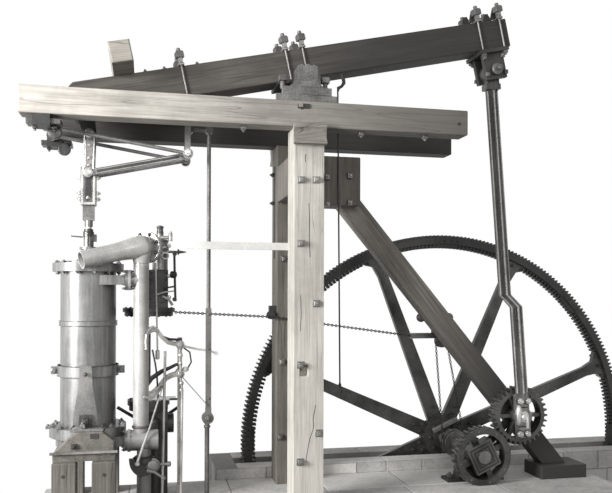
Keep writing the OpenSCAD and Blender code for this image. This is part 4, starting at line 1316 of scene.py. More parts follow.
@dataclass
class Flywheel:
    """Cog tails inside the rim, joint plates, and bolts at the arms and the hub."""

    paint: Paintbox
    centre: Point = (2.03, 1.0, FLOOR + 0.31)
    teeth: int = 304
    arms: int = 8
    inner: float = 2.36
    phase: float = 21.0
    # Radius, and degrees from the arm's middle
    arm_bolts: tuple[Flat, ...] = (
        (2.31, -3.4), (2.31, 0.0), (2.31, 3.4), (0.30, -9.0), (0.30, 9.0), (0.40, 0.0)
    )

    def ring(self, radius: float, angle: float, y: float) -> Matrix:
        """Finds a frame on the wheel.

        Args:
            radius: from the hub's middle.
            angle: round the wheel in degrees.
            y: across the engine.

        Returns:
            The frame, with Z outwards.
        """
        a = math.radians(angle)
        at = (self.centre[0] + radius * math.cos(a), y, self.centre[2] + radius * math.sin(a))
        return Matrix.Translation(at) @ Matrix.Rotation(math.radians(90) - a, 4, "Y")

    def rim_cog_tails(self) -> None:
        """Adds the tails of the cogs inside the rim, but for those over the arms' heads."""
        tails = Shape()
        y, pitch, half = self.centre[1], 360 / self.arms, 180 / self.arms
        square = [(-0.012, -0.045), (0.012, -0.045), (0.012, 0.045), (-0.012, 0.045)]
        head = [(-0.014, -0.05), (0.014, -0.05), (0.014, 0.05), (-0.014, 0.05)]
        for k in range(self.teeth):
            angle = self.phase + half + (k + 0.5) * 360 / self.teeth
            off_arm = abs((angle - self.phase + half) % pitch - half)
            if off_arm * math.radians(self.inner) < 0.20:
                continue
            tails.prism(square, -0.032, 0.0, self.ring(self.inner, angle, y), 1.1)
            tails.prism(head, -0.046, -0.032, self.ring(self.inner, angle, y), 0.9)
        tails.make("rim_cog_tails", self.paint, Finish.WHEEL_IRON)

    def joint_plates(self, plates: Shape, joint: float) -> None:
        """Adds the plates over one joint of the rim.

        Args:
            plates: takes them.
            joint: angle of the joint in degrees.
        """
        plate = [(-0.17, -0.006), (0.17, -0.006), (0.17, 0.006), (-0.17, 0.006)]
        for side in SIDES:
            face = self.centre[1] + side * 0.078
            plates.prism(plate, -0.035, 0.03, self.ring(self.inner + 0.042, joint, face))
            for slide in (-2.9, -1.1, 1.1, 2.9):
                spot = self.ring(self.inner + 0.04, joint + slide, face + side * 0.006).translation
                plates.nut(spot, (0, side, 0), 0.026, 6, 0.6)
        lump = [(-0.13, -0.05), (0.13, -0.05), (0.13, 0.05), (-0.13, 0.05)]
        plates.prism(lump, -0.035, 0.0, self.ring(self.inner, joint, self.centre[1]), 1.15)

    def flywheel_bolts(self) -> None:
        """Adds the joint plates and the bolts of the arms and the hub."""
        plates = Shape()
        pitch = 360 / self.arms
        for k in range(self.arms):
            self.joint_plates(plates, self.phase + pitch / 2 + pitch * k)
            for side in SIDES:
                face = self.centre[1] + side * 0.031
                for radius, slide in self.arm_bolts:
                    spot = self.ring(radius, self.phase + pitch * k + slide, face).translation
                    plates.nut(spot, (0, side, 0), 0.038, 6, 0.7)
        for k in range(self.arms):
            angle = self.phase + pitch / 2 + pitch * k
            plates.nut(self.ring(0.175, angle, self.centre[1] - 0.08).translation, FRONT, 0.04, 6)
        plates.make("flywheel_bolts", self.paint, Finish.WHEEL_IRON, 0.0015)

    def hub_clamp(self) -> None:
        """Adds the bar clamped on the hub."""
        clamp = Shape()
        x, y, z = self.centre
        turn = Matrix.Rotation(math.radians(-24), 4, "Y")
        clamp.box((x, y - 0.14, z + 0.16), (0.34, 0.05, 0.055), turn)
        clamp.make("hub_clamp", self.paint, Finish.BAND_IRON, 0.006)

    def build(self) -> None:
        """Adds every piece in order."""
        self.rim_cog_tails()
        self.flywheel_bolts()
        self.hub_clamp()


@dataclass
class ParallelMotion:
    """Ends of the pins and straps of the links and bars, near-black strips and plates as painted shade of
    each groove and slot, and the radius rods' brackets.
    """

    paint: Paintbox
    # A link's lower pin against its upper one
    link_drop: float = 0.385
    link_slide: float = 0.012
    # The radius rods' fixed pin against the back links' lower one, in X and Z
    radius_shift: Flat = (-1.32, 0.205)

    def pin(self, along: float) -> Point:
        """Returns: a link's upper pin, that far along the beam."""
        return BEAM.at(along, -0.13, 0.0)

    def foot(self, top: Point) -> Point:
        """Returns: a link's lower pin under its upper one."""
        return (top[0] - self.link_slide, 0.0, top[2] - self.link_drop)

    def main_pin(self) -> Point:
        """Returns: the upper pin of the main links."""
        return self.pin(-2.14)

    def back_pin(self) -> Point:
        """Returns: the upper pin of the back links."""
        return self.pin(-1.17)

    def motion_pins(self) -> None:
        """Adds the ends of the pins of the links and bars."""
        main, back = self.main_pin(), self.back_pin()
        end = [(0.045, -0.006), (0.045, 0.010), (0.034, 0.012), (0.034, 0.026), (0.014, 0.03)]
        pins = Shape()
        for point, reach in ((main, 0.10), (back, 0.10), (self.foot(main), 0.134)):
            for side in SIDES:
                pins.lathe(end, (point[0], side * reach, point[2]), (0, side, 0), 24)
        x, _, z = self.foot(back)
        for side in SIDES:
            pins.nut((x, side * 0.242, z), (0, side, 0), 0.07, 6, 0.6)
        pins.make("motion_pins", self.paint, Finish.BRIGHT, 0.002)

    def link_straps(self) -> None:
        """Adds the bright edges and bolts of the main links."""
        straps = Shape()
        top = self.main_pin()
        low = self.foot(top)
        for side in SIDES:
            y = side * 0.09
            for dx in (-0.046, 0.046):
                straps.sweep([(top[0] + dx, y, top[2] - 0.02), (low[0] + dx, y, low[2] + 0.02)], 0.007, 8)
            for t in (0.3, 0.62, 0.8):
                z = top[2] + (low[2] - top[2]) * t
                straps.nut((top[0] - self.link_slide * t, y, z), (0, side, 0), 0.026, 4, 0.6)
        straps.make("link_straps", self.paint, Finish.BRIGHT)

    def bar_groove_shade(self) -> None:
        """Adds near-black strips along the parallel bars as painted shade in each groove."""
        groove_shade = Shape()
        back, main = Vector(self.foot(self.back_pin())), Vector(self.foot(self.main_pin()))
        way = back - main
        turn = Matrix.Rotation(-math.atan2(way.z, way.x), 4, "Y")
        middle = (back + main) / 2
        length = way.length - 0.17
        face = -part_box("parallel_bars")[0][1]
        for side in SIDES:
            y = side * (face + 0.001)
            # Near-black strips: painted shade in each groove of the bars
            groove_shade.box((middle.x, y, middle.z), (length, 0.004, 0.024), turn)
            for across in (-0.026, 0.026):
                at = middle + turn @ Vector((0.0, 0.0, across))
                groove_shade.box((at.x, y, at.z), (length, 0.004, 0.004), turn)
        groove_shade.make("bar_groove_shade", self.paint, Finish.BLACK_IRON)

    def head_straps(self) -> None:
        """Adds the bright straps and nuts of the piston rod's head."""
        head = Shape()
        x = self.foot(self.main_pin())[0]
        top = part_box("piston_rod_head")[1][2]
        for side in SIDES:
            for dx in (-0.055, 0.055):
                head.box((x + dx, side * 0.082, top - 0.19), (0.022, 0.012, 0.34))
            head.box((x, side * 0.078, top - 0.355), (0.135, 0.012, 0.026))
            head.nut((x, side * 0.080, top - 0.30), (0, side, 0), 0.03)
        for side in SIDES:
            for z in (top - 0.10, top - 0.25, top - 0.31):
                head.nut((x + side * 0.0735, -0.02, z), (side, 0, 0), 0.036)
        head.make("head_straps", self.paint, Finish.BRIGHT, 0.002)

    def head_slot_shade(self) -> None:
        """Adds near-black plates on the piston rod's head as painted shade of each slot."""
        slot_shade = Shape()
        x = self.foot(self.main_pin())[0]
        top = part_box("piston_rod_head")[1][2]
        for side in SIDES:
            # Near-black plate: painted shade of a slot in the head
            slot_shade.box((x, side * 0.076, top - 0.20), (0.052, 0.006, 0.17))
        slot_shade.make("head_slot_shade", self.paint, Finish.BLACK_IRON)

    def radius_knobs(self) -> None:
        """Adds the blocks, knobs and nuts where the radius rods are held."""
        knobs = Shape()
        pin = self.foot(self.back_pin())
        x, z = pin[0] + self.radius_shift[0], pin[2] + self.radius_shift[1]
        knob = [(0.06, 0.0), (0.066, 0.02), (0.06, 0.05), (0.03, 0.06)]
        for side in SIDES:
            knobs.box((x + 0.02, side * 0.50, FLOOR + 3.60), (0.30, 0.17, 0.05))
            knobs.lathe(knob, (x + 0.10, side * 0.38, z - 0.10), (0, side, 0), 24)
            knobs.nut((x - 0.06, side * 0.50, FLOOR + 3.572), DOWN, 0.045)
            knobs.nut((x + 0.11, side * 0.50, FLOOR + 3.572), DOWN, 0.045)
        knobs.make("radius_knobs", self.paint, Finish.ROD_GREY, 0.005)

    def build(self) -> None:
        """Adds every piece in order."""
        self.motion_pins()
        self.link_straps()
        self.bar_groove_shade()
        self.head_straps()
        self.head_slot_shade()
        self.radius_knobs()


@dataclass
class Cylinder:
    """Bolts and small fittings of the cylinder, its cover, hoop and cradle."""

    paint: Paintbox
    x: float = -2.0762
    radius: float = 0.262
    cover_top: float = FLOOR + 2.348
    lug: float = 0.318
    # Path of a saddle's hook, in X from the cylinder and height over the floor
    hook: tuple[Flat, ...] = (
        (-0.10, 0.80), (-0.085, 0.815), (-0.05, 0.815), (-0.01, 0.80), (0.01, 0.765), (0.005, 0.725),
        (-0.02, 0.705),
    )

    def cylinder_bolts(self) -> None:
        """Adds the nuts of the cover and of the foot's flange."""
        bolts = Shape()
        for dx, y, angle in around(12, 0.298):
            turn = math.degrees(angle)
            bolts.nut((self.x + dx, y, self.cover_top), UP, 0.036, 4, 0.55, turn, 0.2)
            bolts.nut((self.x + dx, y, FLOOR + 2.268), DOWN, 0.032, 4, 0.55, turn, 0.2)
        for dx, y, angle in around(12, 0.325):
            if abs(math.sin(angle)) < 0.9:
                foot = (self.x + dx, y, FLOOR + 0.78)
                bolts.nut(foot, UP, 0.038, 4, 0.55, math.degrees(angle), 0.25)
        bolts.make("cylinder_bolts", self.paint, Finish.GREY_IRON, 0.002)

    def rod_gland(self) -> None:
        """Adds the piston rod's gland with its studs, oil cup and lever."""
        gland = Shape()
        sleeve = [(0.052, 0.0), (0.052, 0.05), (0.044, 0.056), (0.044, 0.075), (0.032, 0.08)]
        gland.lathe(sleeve, (self.x, 0, FLOOR + 2.61), UP, 28)
        for side in SIDES:
            gland.lathe([(0.009, 0.0), (0.009, 0.12)], (self.x, side * 0.072, FLOOR + 2.51), UP, 10)
            gland.nut((self.x, side * 0.072, FLOOR + 2.63), UP, 0.028, 6)
        gland.box((self.x + 0.052, -0.01, FLOOR + 2.60), (0.05, 0.06, 0.07))
        lever = [(self.x - 0.16, -0.05, 2.613), (self.x - 0.05, -0.05, 2.605)]
        gland.sweep(raised(lever), 0.007, 8)
        gland.make("rod_gland", self.paint, Finish.ROD_GREY, 0.003)

    def hoop_bolts(self) -> None:
        """Adds the hoop's bolts and the fine beads round the cylinder."""
        hoop = Shape()
        head = [(0.026, 0.0), (0.026, 0.012), (0.017, 0.016), (0.017, 0.03)]
        for side in SIDES:
            hoop.lathe(head, (self.x + side * self.lug, -0.026, FLOOR + 1.312), FRONT)
            hoop.nut((self.x + side * self.lug, 0.026, FLOOR + 1.312), BACK, 0.036, 6)
            hoop.nut((self.x + side * 0.335, -0.31, FLOOR + 0.80), UP, 0.04)
        for z, root, crest in (
            (1.262, 0.027, 0.031), (1.362, 0.027, 0.031), (1.748, 0.013, 0.017), (1.792, 0.013, 0.017)
        ):
            bead = [(self.radius + root, -0.003), (self.radius + crest, 0.0), (self.radius + root, 0.003)]
            hoop.lathe(bead, (self.x, 0, FLOOR + z), UP, 96)
        hoop.make("hoop_bolts", self.paint, Finish.GREY_IRON)

    def hold_down_nuts(self) -> None:
        """Adds the nuts and seats of the hold-down brackets."""
        seats = Shape()
        for side in SIDES:
            y = side * 0.335
            seats.nut((self.x, y, FLOOR + 0.86), (0, side, 0), 0.06)
            seats.nut((self.x, y, FLOOR + 1.30), (0, side, 0), 0.036, 6)
            seats.box((self.x, y - side * 0.006, FLOOR + 0.86), (0.12, 0.02, 0.12))
            for dx in (-0.10, 0.16):
                seats.nut((self.x + dx, side * 0.40, FLOOR + 0.785), UP, 0.05)
        seats.make("hold_down_nuts", self.paint, Finish.ROD_GREY, 0.003)

    def cradle_pegs(self) -> None:
        """Adds the pegs and nuts of the timber cradle, and near-black plates for its mortises as painted
        shade of the holes.
        """
        cradle = Shape()
        peg = [(0.016, 0.0), (0.016, 0.004), (0.01, 0.005)]
        for side in SIDES:
            for dx in (-0.18, 0.18):
                for dz in (0.12, 0.40):
                    cradle.lathe(peg, (self.x + dx, side * 0.53, FLOOR + dz), (0, side, 0), 12)
            cradle.nut((self.x - 0.09, side * 0.47, FLOOR + 0.66), (0, side, 0), 0.045)
            # Near-black plate: painted shade of a mortise
            cradle.box((self.x + 0.09, side * 0.471, FLOOR + 0.745), (0.075, 0.006, 0.045))
        cradle.make("cradle_pegs", self.paint, Finish.DARK_SPRING)

    def saddle_hooks(self) -> None:
        """Adds the iron hooks and straps over the cradle's saddles."""
        hooks = Shape()
        for side in SIDES:
            hooks.sweep([(self.x + x, side * 0.43, FLOOR + z) for x, z in self.hook], 0.017)
            hooks.box((self.x + 0.02, side * 0.40, FLOOR + 0.796), (0.30, 0.10, 0.022))
            hooks.nut((self.x - 0.02, side * 0.40, FLOOR + 0.807), UP, 0.05, 4, 0.8)
            hooks.box((self.x, side * 0.487, FLOOR + 0.60), (0.60, 0.03, 0.022))
        hooks.make("saddle_hooks", self.paint, Finish.BEARING_IRON, 0.003)

    def build(self) -> None:
        """Adds every piece in order."""
        self.cylinder_bolts()
        self.rod_gland()
        self.hoop_bolts()
        self.hold_down_nuts()
        self.cradle_pegs()
        self.saddle_hooks()


# The stand pipe's middle, which the steam work and the working gear are placed from
STAND_X: float = -1.571
STAND_Y: float = -0.2


@dataclass
class SteamWork:
    """Bolts of the elbow, ports and chests, the throttle's fittings and the cocks."""

    paint: Paintbox
    elbow: Point = (STAND_X, STAND_Y - 0.03, FLOOR + 2.51)
    pipe_end: Point = (-2.110, -0.446, FLOOR + 2.366)
    flange_way: Point = (0.43, 0.903, 0.0)
    chest: Flat = (STAND_X + 0.075, 0.225)
    spindle: Flat = (STAND_X + 0.185, 0.158)
    rod_x: float = STAND_X + 0.325
    # Radius of the pipe, and distance from the elbow
    swell: tuple[Flat, ...] = (
        (0.1115, -0.02), (0.1125, 0.0), (0.1125, 0.02), (0.109, 0.06), (0.101, 0.12),
        (0.093, 0.18), (0.087, 0.25), (0.0845, 0.32), (0.0835, 0.33),
    )

    def elbow_swell(self) -> None:
        """Adds the swelling of the pipe on both sides of the elbow."""
        elbow = Vector(self.elbow)
        run = (Vector(self.pipe_end) - elbow).normalized()
        sleeve = Shape()
        sleeve.lathe(self.swell, elbow, run, 48)
        neck = [(0.0745, 0.0), (0.078, 0.02), (0.088, 0.06), (0.105, 0.11), (0.111, 0.15)]
        sleeve.lathe(neck, (STAND_X, STAND_Y - 0.015, FLOOR + 2.35), UP, 48)
        sleeve.make("elbow_swell", self.paint, Finish.ELBOW, 0.0, 60.0)

    def pipe_bolts(self) -> None:
        """Adds the nuts of the elbow's flanges and of the ports, and the stand pipe's ring."""
        pipe = Shape()
        elbow, way = Vector(self.elbow), Vector(self.flange_way).normalized()
        side = way.cross(Vector(UP)).normalized()
        for across, up, _ in around(8, 1.0):
            at = elbow + way * 0.070 + (side * across + Vector(UP) * up) * 0.132
            pipe.nut(at, -way, 0.03, 4, 0.75)
            pipe.nut(at + way * 0.068, way, 0.03, 4, 0.75)
        end = STAND_X - 0.124
        for z, radius in ((2.188, 0.082), (0.64, 0.088)):
            for y, up, _ in around(6, radius):
                for dx, out in ((-0.026, LEFT), (0.026, RIGHT)):
                    pipe.nut((end + dx, STAND_Y + y, FLOOR + z + up), out, 0.026, 4, 0.75)
        ring = [(0.080, 0.0), (0.084, 0.006), (0.084, 0.02), (0.080, 0.026)]
        pipe.lathe(ring, (STAND_X, STAND_Y, FLOOR + 0.76), UP, 32)
        pipe.make("pipe_bolts", self.paint, Finish.ROD_IRON, 0.002)

    def chest_bolts(self) -> None:
        """Adds the bolt heads of the chests' flanges, the upper chest's plate and the lower boss."""
        chest = Shape()
        cx, cy = self.chest
        for level, radius, out in ((1.910, 0.235, UP), (1.830, 0.220, DOWN)):
            for dx, dy, _ in around(14, radius):
                head = [(0.012, 0.0), (0.012, 0.006), (0.007, 0.008)]
                chest.lathe(head, (cx + dx, cy + dy, FLOOR + level), out, 8)
        for dx, dy, _ in around(12, 0.185):
            head = [(0.011, 0.0), (0.011, 0.009), (0.007, 0.011)]
            chest.lathe(head, (cx + dx, cy + dy, FLOOR + 0.974), UP, 8)
        for z in (2.0, 2.1, 2.2, 2.27):
            for x in (STAND_X + 0.08, STAND_X + 0.24):
                chest.nut((x, 0.11, FLOOR + z), FRONT, 0.026)
        chest.box((STAND_X + 0.16, 0.104, FLOOR + 2.12), (0.20, 0.012, 0.30))
        chest.box((STAND_X + 0.16, 0.098, FLOOR + 2.12), (0.14, 0.012, 0.18))
        boss = [(0.046, 0.0), (0.042, 0.02), (0.028, 0.04), (0.012, 0.048)]
        chest.lathe(boss, (STAND_X + 0.135, 0.07, FLOOR + 0.76), UP, 28)
        chest.make("chest_bolts", self.paint, Finish.BLACK_IRON, 0.002)

    def chest_trim(self) -> None:
        """Adds the bright bars and knobs on the upper chest, and the lower chest's bright lid."""
        trim = Shape()
        bars = (
            (((0.155, 0.05, 2.05), (0.24, 0.045, 2.075), (0.33, 0.05, 2.085)), 0.0075),
            (((0.21, 0.085, 2.03), (0.27, 0.08, 2.0), (0.31, 0.08, 1.94)), 0.014),
        )
        for bar, radius in bars:
            trim.sweep([(STAND_X + x, y, FLOOR + z) for x, y, z in bar], radius, 8)
        knob = [(0.014, 0.0), (0.020, 0.006), (0.020, 0.022), (0.010, 0.028)]
        for z in (2.02, 2.235):
            trim.lathe(knob, (STAND_X + 0.275, 0.075, FLOOR + z), FRONT, 16)
        trim.box((STAND_X + 0.16, 0.20, FLOOR + 0.98), (0.38, 0.22, 0.012))
        trim.make("chest_trim", self.paint, Finish.BRIGHT, 0.001)

    def throttle_eyes(self) -> None:
        """Adds the throttle's bright bar, cup and eyes."""
        eyes = Shape()
        eyes.sweep(raised([(-1.385, 0.085, 2.625), (-1.27, 0.085, 2.625)]), 0.019, 12)
        cup = [(0.020, 0.0), (0.020, 0.075), (0.014, 0.085), (0.014, 0.095), (0.006, 0.10)]
        eyes.lathe(cup, (-1.284, 0.085, FLOOR + 2.59))
        eyes.nut((-1.30, 0.05, FLOOR + 2.54), FRONT, 0.04, 6, 0.8)
        tx, ty = self.spindle
        for z in (2.50, 2.44):
            ring = []
            for step in range(17):
                angle = math.tau * step / 16
                x, up = 0.034 * math.cos(angle), 0.03 * math.sin(angle)
                ring.append((tx + 0.045 + x, ty - 0.085, FLOOR + z + up))
            eyes.sweep(ring, 0.010, 8)
        eyes.make("throttle_eyes", self.paint, Finish.BRIGHT)

    def throttle_fittings(self) -> None:
        """Adds the throttle's cap, flange and spindle."""
        throttle = Shape()
        tx, ty = self.spindle
        cap = [(0.036, 0.0), (0.030, 0.05), (0.036, 0.06), (0.036, 0.075), (0.012, 0.085)]
        throttle.lathe(cap, (tx, ty, FLOOR + 2.668), UP, 24)
        throttle.lathe([(0.085, 0.0), (0.085, 0.02)], (tx, ty, FLOOR + 2.58), UP, 32)
        throttle.sweep(raised([(tx + 0.19, ty, 2.485), (tx + 0.262, ty, 2.485)]), (0.018, 0.006))
        throttle.lathe([(0.03, 0.0), (0.03, 0.016)], (tx + 0.175, ty, FLOOR + 2.485), RIGHT)
        throttle.make("throttle_fittings", self.paint, Finish.ROD_GREY, 0.0015)

    def throttle_links(self) -> None:
        """Adds the dark rod down from the throttle, its joints and its stay."""
        links = Shape()
        x = self.rod_x
        rod = [(x, 0.07, 2.48), (x + 0.004, 0.05, 2.24), (x + 0.012, 0.05, 1.98)]
        links.sweep(raised(rod), 0.012, 8)
        for z in (2.46, 2.26, 2.0):
            links.lathe([(0.022, -0.02), (0.022, 0.02)], (x + 0.003, 0.05, FLOOR + z), BACK, 16)
        links.sweep(raised([(STAND_X + 0.21, 0.05, 2.11), (x, 0.05, 2.13)]), 0.009, 8)
        boss = [(0.03, 0.0), (0.036, 0.01), (0.036, 0.05), (0.02, 0.06)]
        links.lathe(boss, (STAND_X + 0.29, 0.06, FLOOR + 2.25), (0.9, -0.3, 0))
        links.make("throttle_links", self.paint, Finish.BLACK_IRON)

    def cock_sector(self) -> None:
        """Adds the stand pipe's foot and the sector of its cock."""
        cock = Shape()
        foot = [(0.095, 0.0), (0.105, 0.02), (0.105, 0.05), (0.08, 0.07)]
        cock.lathe(foot, (STAND_X + 0.03, STAND_Y - 0.005, FLOOR + 0.42), UP, 32)
        angles = [math.pi + math.pi * step / 12 for step in range(13)]
        sector = [(0.13 * math.cos(angle), 0.17 * math.sin(angle)) for angle in angles]
        middle = Matrix.Translation((STAND_X + 0.02, STAND_Y - 0.04, FLOOR + 0.47))
        cock.prism(sector, -0.03, 0.03, middle @ Matrix.Rotation(math.radians(90), 4, "X"))
        cock.make("cock_sector", self.paint, Finish.BLACK_IRON, 0.003)

    def drain_cock(self) -> None:
        """Adds the drain cock with its plug, spout and handle."""
        plug = Shape()
        x, y = STAND_X, STAND_Y - 0.12
        body = [(0.066, 0.0), (0.07, 0.012), (0.052, 0.022), (0.052, 0.04), (0.03, 0.05)]
        plug.lathe(body, (x + 0.115, STAND_Y - 0.06, FLOOR + 0.405), FRONT, 28)
        spout = [(x + 0.06, y, 0.372), (x + 0.13, y, 0.352), (x + 0.215, y, 0.29)]
        plug.sweep(raised(spout), (0.02, 0.013, 0.010))
        lip = [(0.010, 0.0), (0.022, 0.01), (0.022, 0.03), (0.010, 0.04)]
        plug.lathe(lip, (x + 0.215, y, FLOOR + 0.27), UP, 16)
        handle = [(0.014, 0.0), (0.014, 0.08), (0.026, 0.085), (0.026, 0.11), (0.012, 0.118)]
        plug.lathe(handle, (x + 0.17, STAND_Y - 0.06, FLOOR + 0.41), RIGHT, 16)
        plug.make("drain_cock", self.paint, Finish.PIPE, 0.0015)

    def build(self) -> None:
        """Adds every piece in order."""
        self.elbow_swell()
        self.pipe_bolts()
        self.chest_bolts()
        self.chest_trim()
        self.throttle_eyes()
        self.throttle_fittings()
        self.throttle_links()
        self.cock_sector()
        self.drain_cock()


@dataclass
class ValveGear:
    """Thin rods, joints, handles and dark bars of the working gear, and its stay."""

    paint: Paintbox
    post: float = STAND_X + 0.38
    up: float = FLOOR + 1.546
    low: float = FLOOR + 1.257
    pin_x: float = -1.191
    # Paths of the slanting rod and the second handles, with heights over the floor
    slant: tuple[Point, ...] = (
        (-1.364, -0.13, 1.13), (-1.418, -0.2, 0.984), (-1.484, -0.31, 0.783), (-1.549, -0.33, 0.608),
        (-1.6, -0.335, 0.459),
    )
    far_low: tuple[Flat, ...] = (
        (-1.515, 1.145), (-1.467, 1.217), (-1.37, 1.282), (-1.294, 1.314), (-1.23, 1.346), (-1.191, 1.352)
    )
    far_up: tuple[Flat, ...] = (
        (-1.44, 1.70), (-1.405, 1.672), (-1.36, 1.626), (-1.295, 1.602), (-1.225, 1.597), (-1.191, 1.597)
    )
    # Paths of the grips, in X from the post and height from their joint
    grip: tuple[Flat, ...] = (
        (-0.215, 0.0), (-0.262, 0.018), (-0.305, 0.004), (-0.330, -0.034), (-0.334, -0.09), (-0.331, -0.16)
    )
    low_grip: tuple[Flat, ...] = (
        (-0.175, -0.12), (-0.23, -0.18), (-0.28, -0.205), (-0.325, -0.195), (-0.352, -0.185)
    )
    low_grip_depths: tuple[float, ...] = (-0.08, -0.17, -0.27, -0.30, -0.315)

    def thin_rods(self) -> None:
        """Adds the thin upright rod and the slanting rod before the stand pipe."""
        rods = Shape()
        upright = [(STAND_X + 0.137, -0.11, 2.36), (STAND_X + 0.158, -0.115, 1.50)]
        rods.sweep(raised(upright), 0.009)
        weight = [(0.010, 0.0), (0.021, 0.008), (0.021, 0.085), (0.010, 0.095)]
        rods.lathe(weight, (STAND_X + 0.158, -0.115, FLOOR + 1.41), UP, 16)
        rods.sweep(raised(self.slant), (0.007, 0.008, 0.010, 0.012, 0.014))
        eye = [(0.012, -0.022), (0.025, -0.01), (0.025, 0.01), (0.012, 0.022)]
        rods.lathe(eye, (-1.6, -0.335, FLOOR + 0.442), UP, 16)
        rods.make("thin_rods", self.paint, Finish.BRIGHT)

    def gear_joints(self) -> None:
        """Adds the round joints up the gear's post, the bars between them and their nuts."""
        post, up, low = self.post, self.up, self.low
        joints = Shape()
        upper = ((up, 0.036), (up - 0.10, 0.026), (up - 0.18, 0.022))
        lower = ((low, 0.034), (low - 0.09, 0.024), (low - 0.16, 0.022))
        for z, r in upper + lower:
            x = post + (0.0 if z > low - 0.01 else 0.012)
            ball = [(r * 0.5, -r), (r * 0.9, -r * 0.5), (r, 0.0), (r * 0.9, r * 0.5), (r * 0.5, r)]
            joints.lathe(ball, (x, -0.085, z), UP, 16)
        bar = [(post, -0.085, up), (post - 0.01, -0.085, up - 0.10)]
        bar += [(post + 0.004, -0.085, low + 0.06), (post, -0.085, low)]
        joints.sweep(bar, 0.014)
        tail = [(post, -0.085, low), (post + 0.012, -0.09, low - 0.09), (post + 0.02, -0.10, low - 0.17)]
        joints.sweep(tail, 0.012)
        for z in (up, low):
            joints.nut((post, -0.094, z), FRONT, 0.036, 6, 0.8)
        weight = [(0.010, 0.0), (0.030, 0.012), (0.034, 0.03), (0.022, 0.048), (0.010, 0.052)]
        joints.lathe(weight, (post + 0.055, -0.06, low + 0.02))
        joints.make("gear_joints", self.paint, Finish.BRIGHT)

    def handle_grips(self) -> None:
        """Adds the bright grips of the upper pair of handles and of the lower handle."""
        grips = Shape()
        for z, out in ((self.up + 0.150, -0.335), (self.up + 0.135, -0.30)):
            depths = (-0.08, -0.20, -0.29, out, out, out)
            path = [(self.post + x, y, z + dz) for (x, dz), y in zip(self.grip, depths)]
            grips.sweep(path, 0.013)
        path = [(self.post + x, y, self.low + dz) for (x, dz), y in zip(self.low_grip, self.low_grip_depths)]
        grips.sweep(path, 0.013)
        grips.make("handle_grips", self.paint, Finish.BRIGHT)

    def gear_dark_rods(self) -> None:
        """Adds the dark bars behind the gear and the second handles with their bosses."""
        post, up, low = self.post, self.up, self.low
        dark = Shape()
        dark.box((STAND_X + 0.066, -0.165, FLOOR + 1.435), (0.052, 0.02, 0.49))
        right = ((0.02, up - 0.02), (0.10, up - 0.08), (0.115, up - 0.18), (0.07, up - 0.26))
        dark.sweep([(post + x, 0.02, z) for x, z in right], 0.008, 8)
        left = ((0.11, up - 0.05), (0.14, up - 0.2), (0.155, low - 0.02), (0.17, FLOOR + 0.98))
        dark.sweep([(STAND_X + x, 0.03, z) for x, z in left], 0.009, 8)
        for start, end in (
            ((-0.24, 0.32, 0.885), (-0.04, 0.29, 0.763)), ((0.19, 0.30, 0.745), (0.375, 0.28, 0.872))
        ):
            dark.sweep([(STAND_X + x, y, FLOOR + z) for x, y, z in (start, end)], 0.017, 8)
        dark.box((post - 0.04, 0.03, FLOOR + 0.995), (0.12, 0.03, 0.016))
        radii = (0.020, 0.024, 0.022, 0.018, 0.016, 0.014)
        dark.sweep([(x, -0.02, FLOOR + z) for x, z in self.far_low], radii)
        boss = [(0.014, 0.0), (0.022, 0.006), (0.022, 0.055), (0.014, 0.06)]
        dark.lathe(boss, (self.pin_x, -0.015, FLOOR + 1.352), FRONT, 14)
        dark.sweep([(x, -0.02, FLOOR + z) for x, z in self.far_up], 0.013)
        boss = [(0.014, 0.0), (0.020, 0.006), (0.020, 0.055), (0.014, 0.06)]
        dark.lathe(boss, (self.pin_x, -0.015, FLOOR + 1.597), FRONT, 14)
        dark.make("gear_dark_rods", self.paint, Finish.BLACK_IRON)

    def gear_stay(self) -> None:
        """Adds the thin stay from the gear to the plug rod."""
        stay = Shape()
        stay.sweep([(self.post + 0.02, -0.05, self.low - 0.03), (-0.905, -0.03, FLOOR + 0.92)], 0.0045, 6)
        stay.make("gear_stay", self.paint, Finish.ROD_IRON)

    def build(self) -> None:
        """Adds every piece in order."""
        self.thin_rods()
        self.gear_joints()
        self.handle_grips()
        self.gear_dark_rods()
        self.gear_stay()


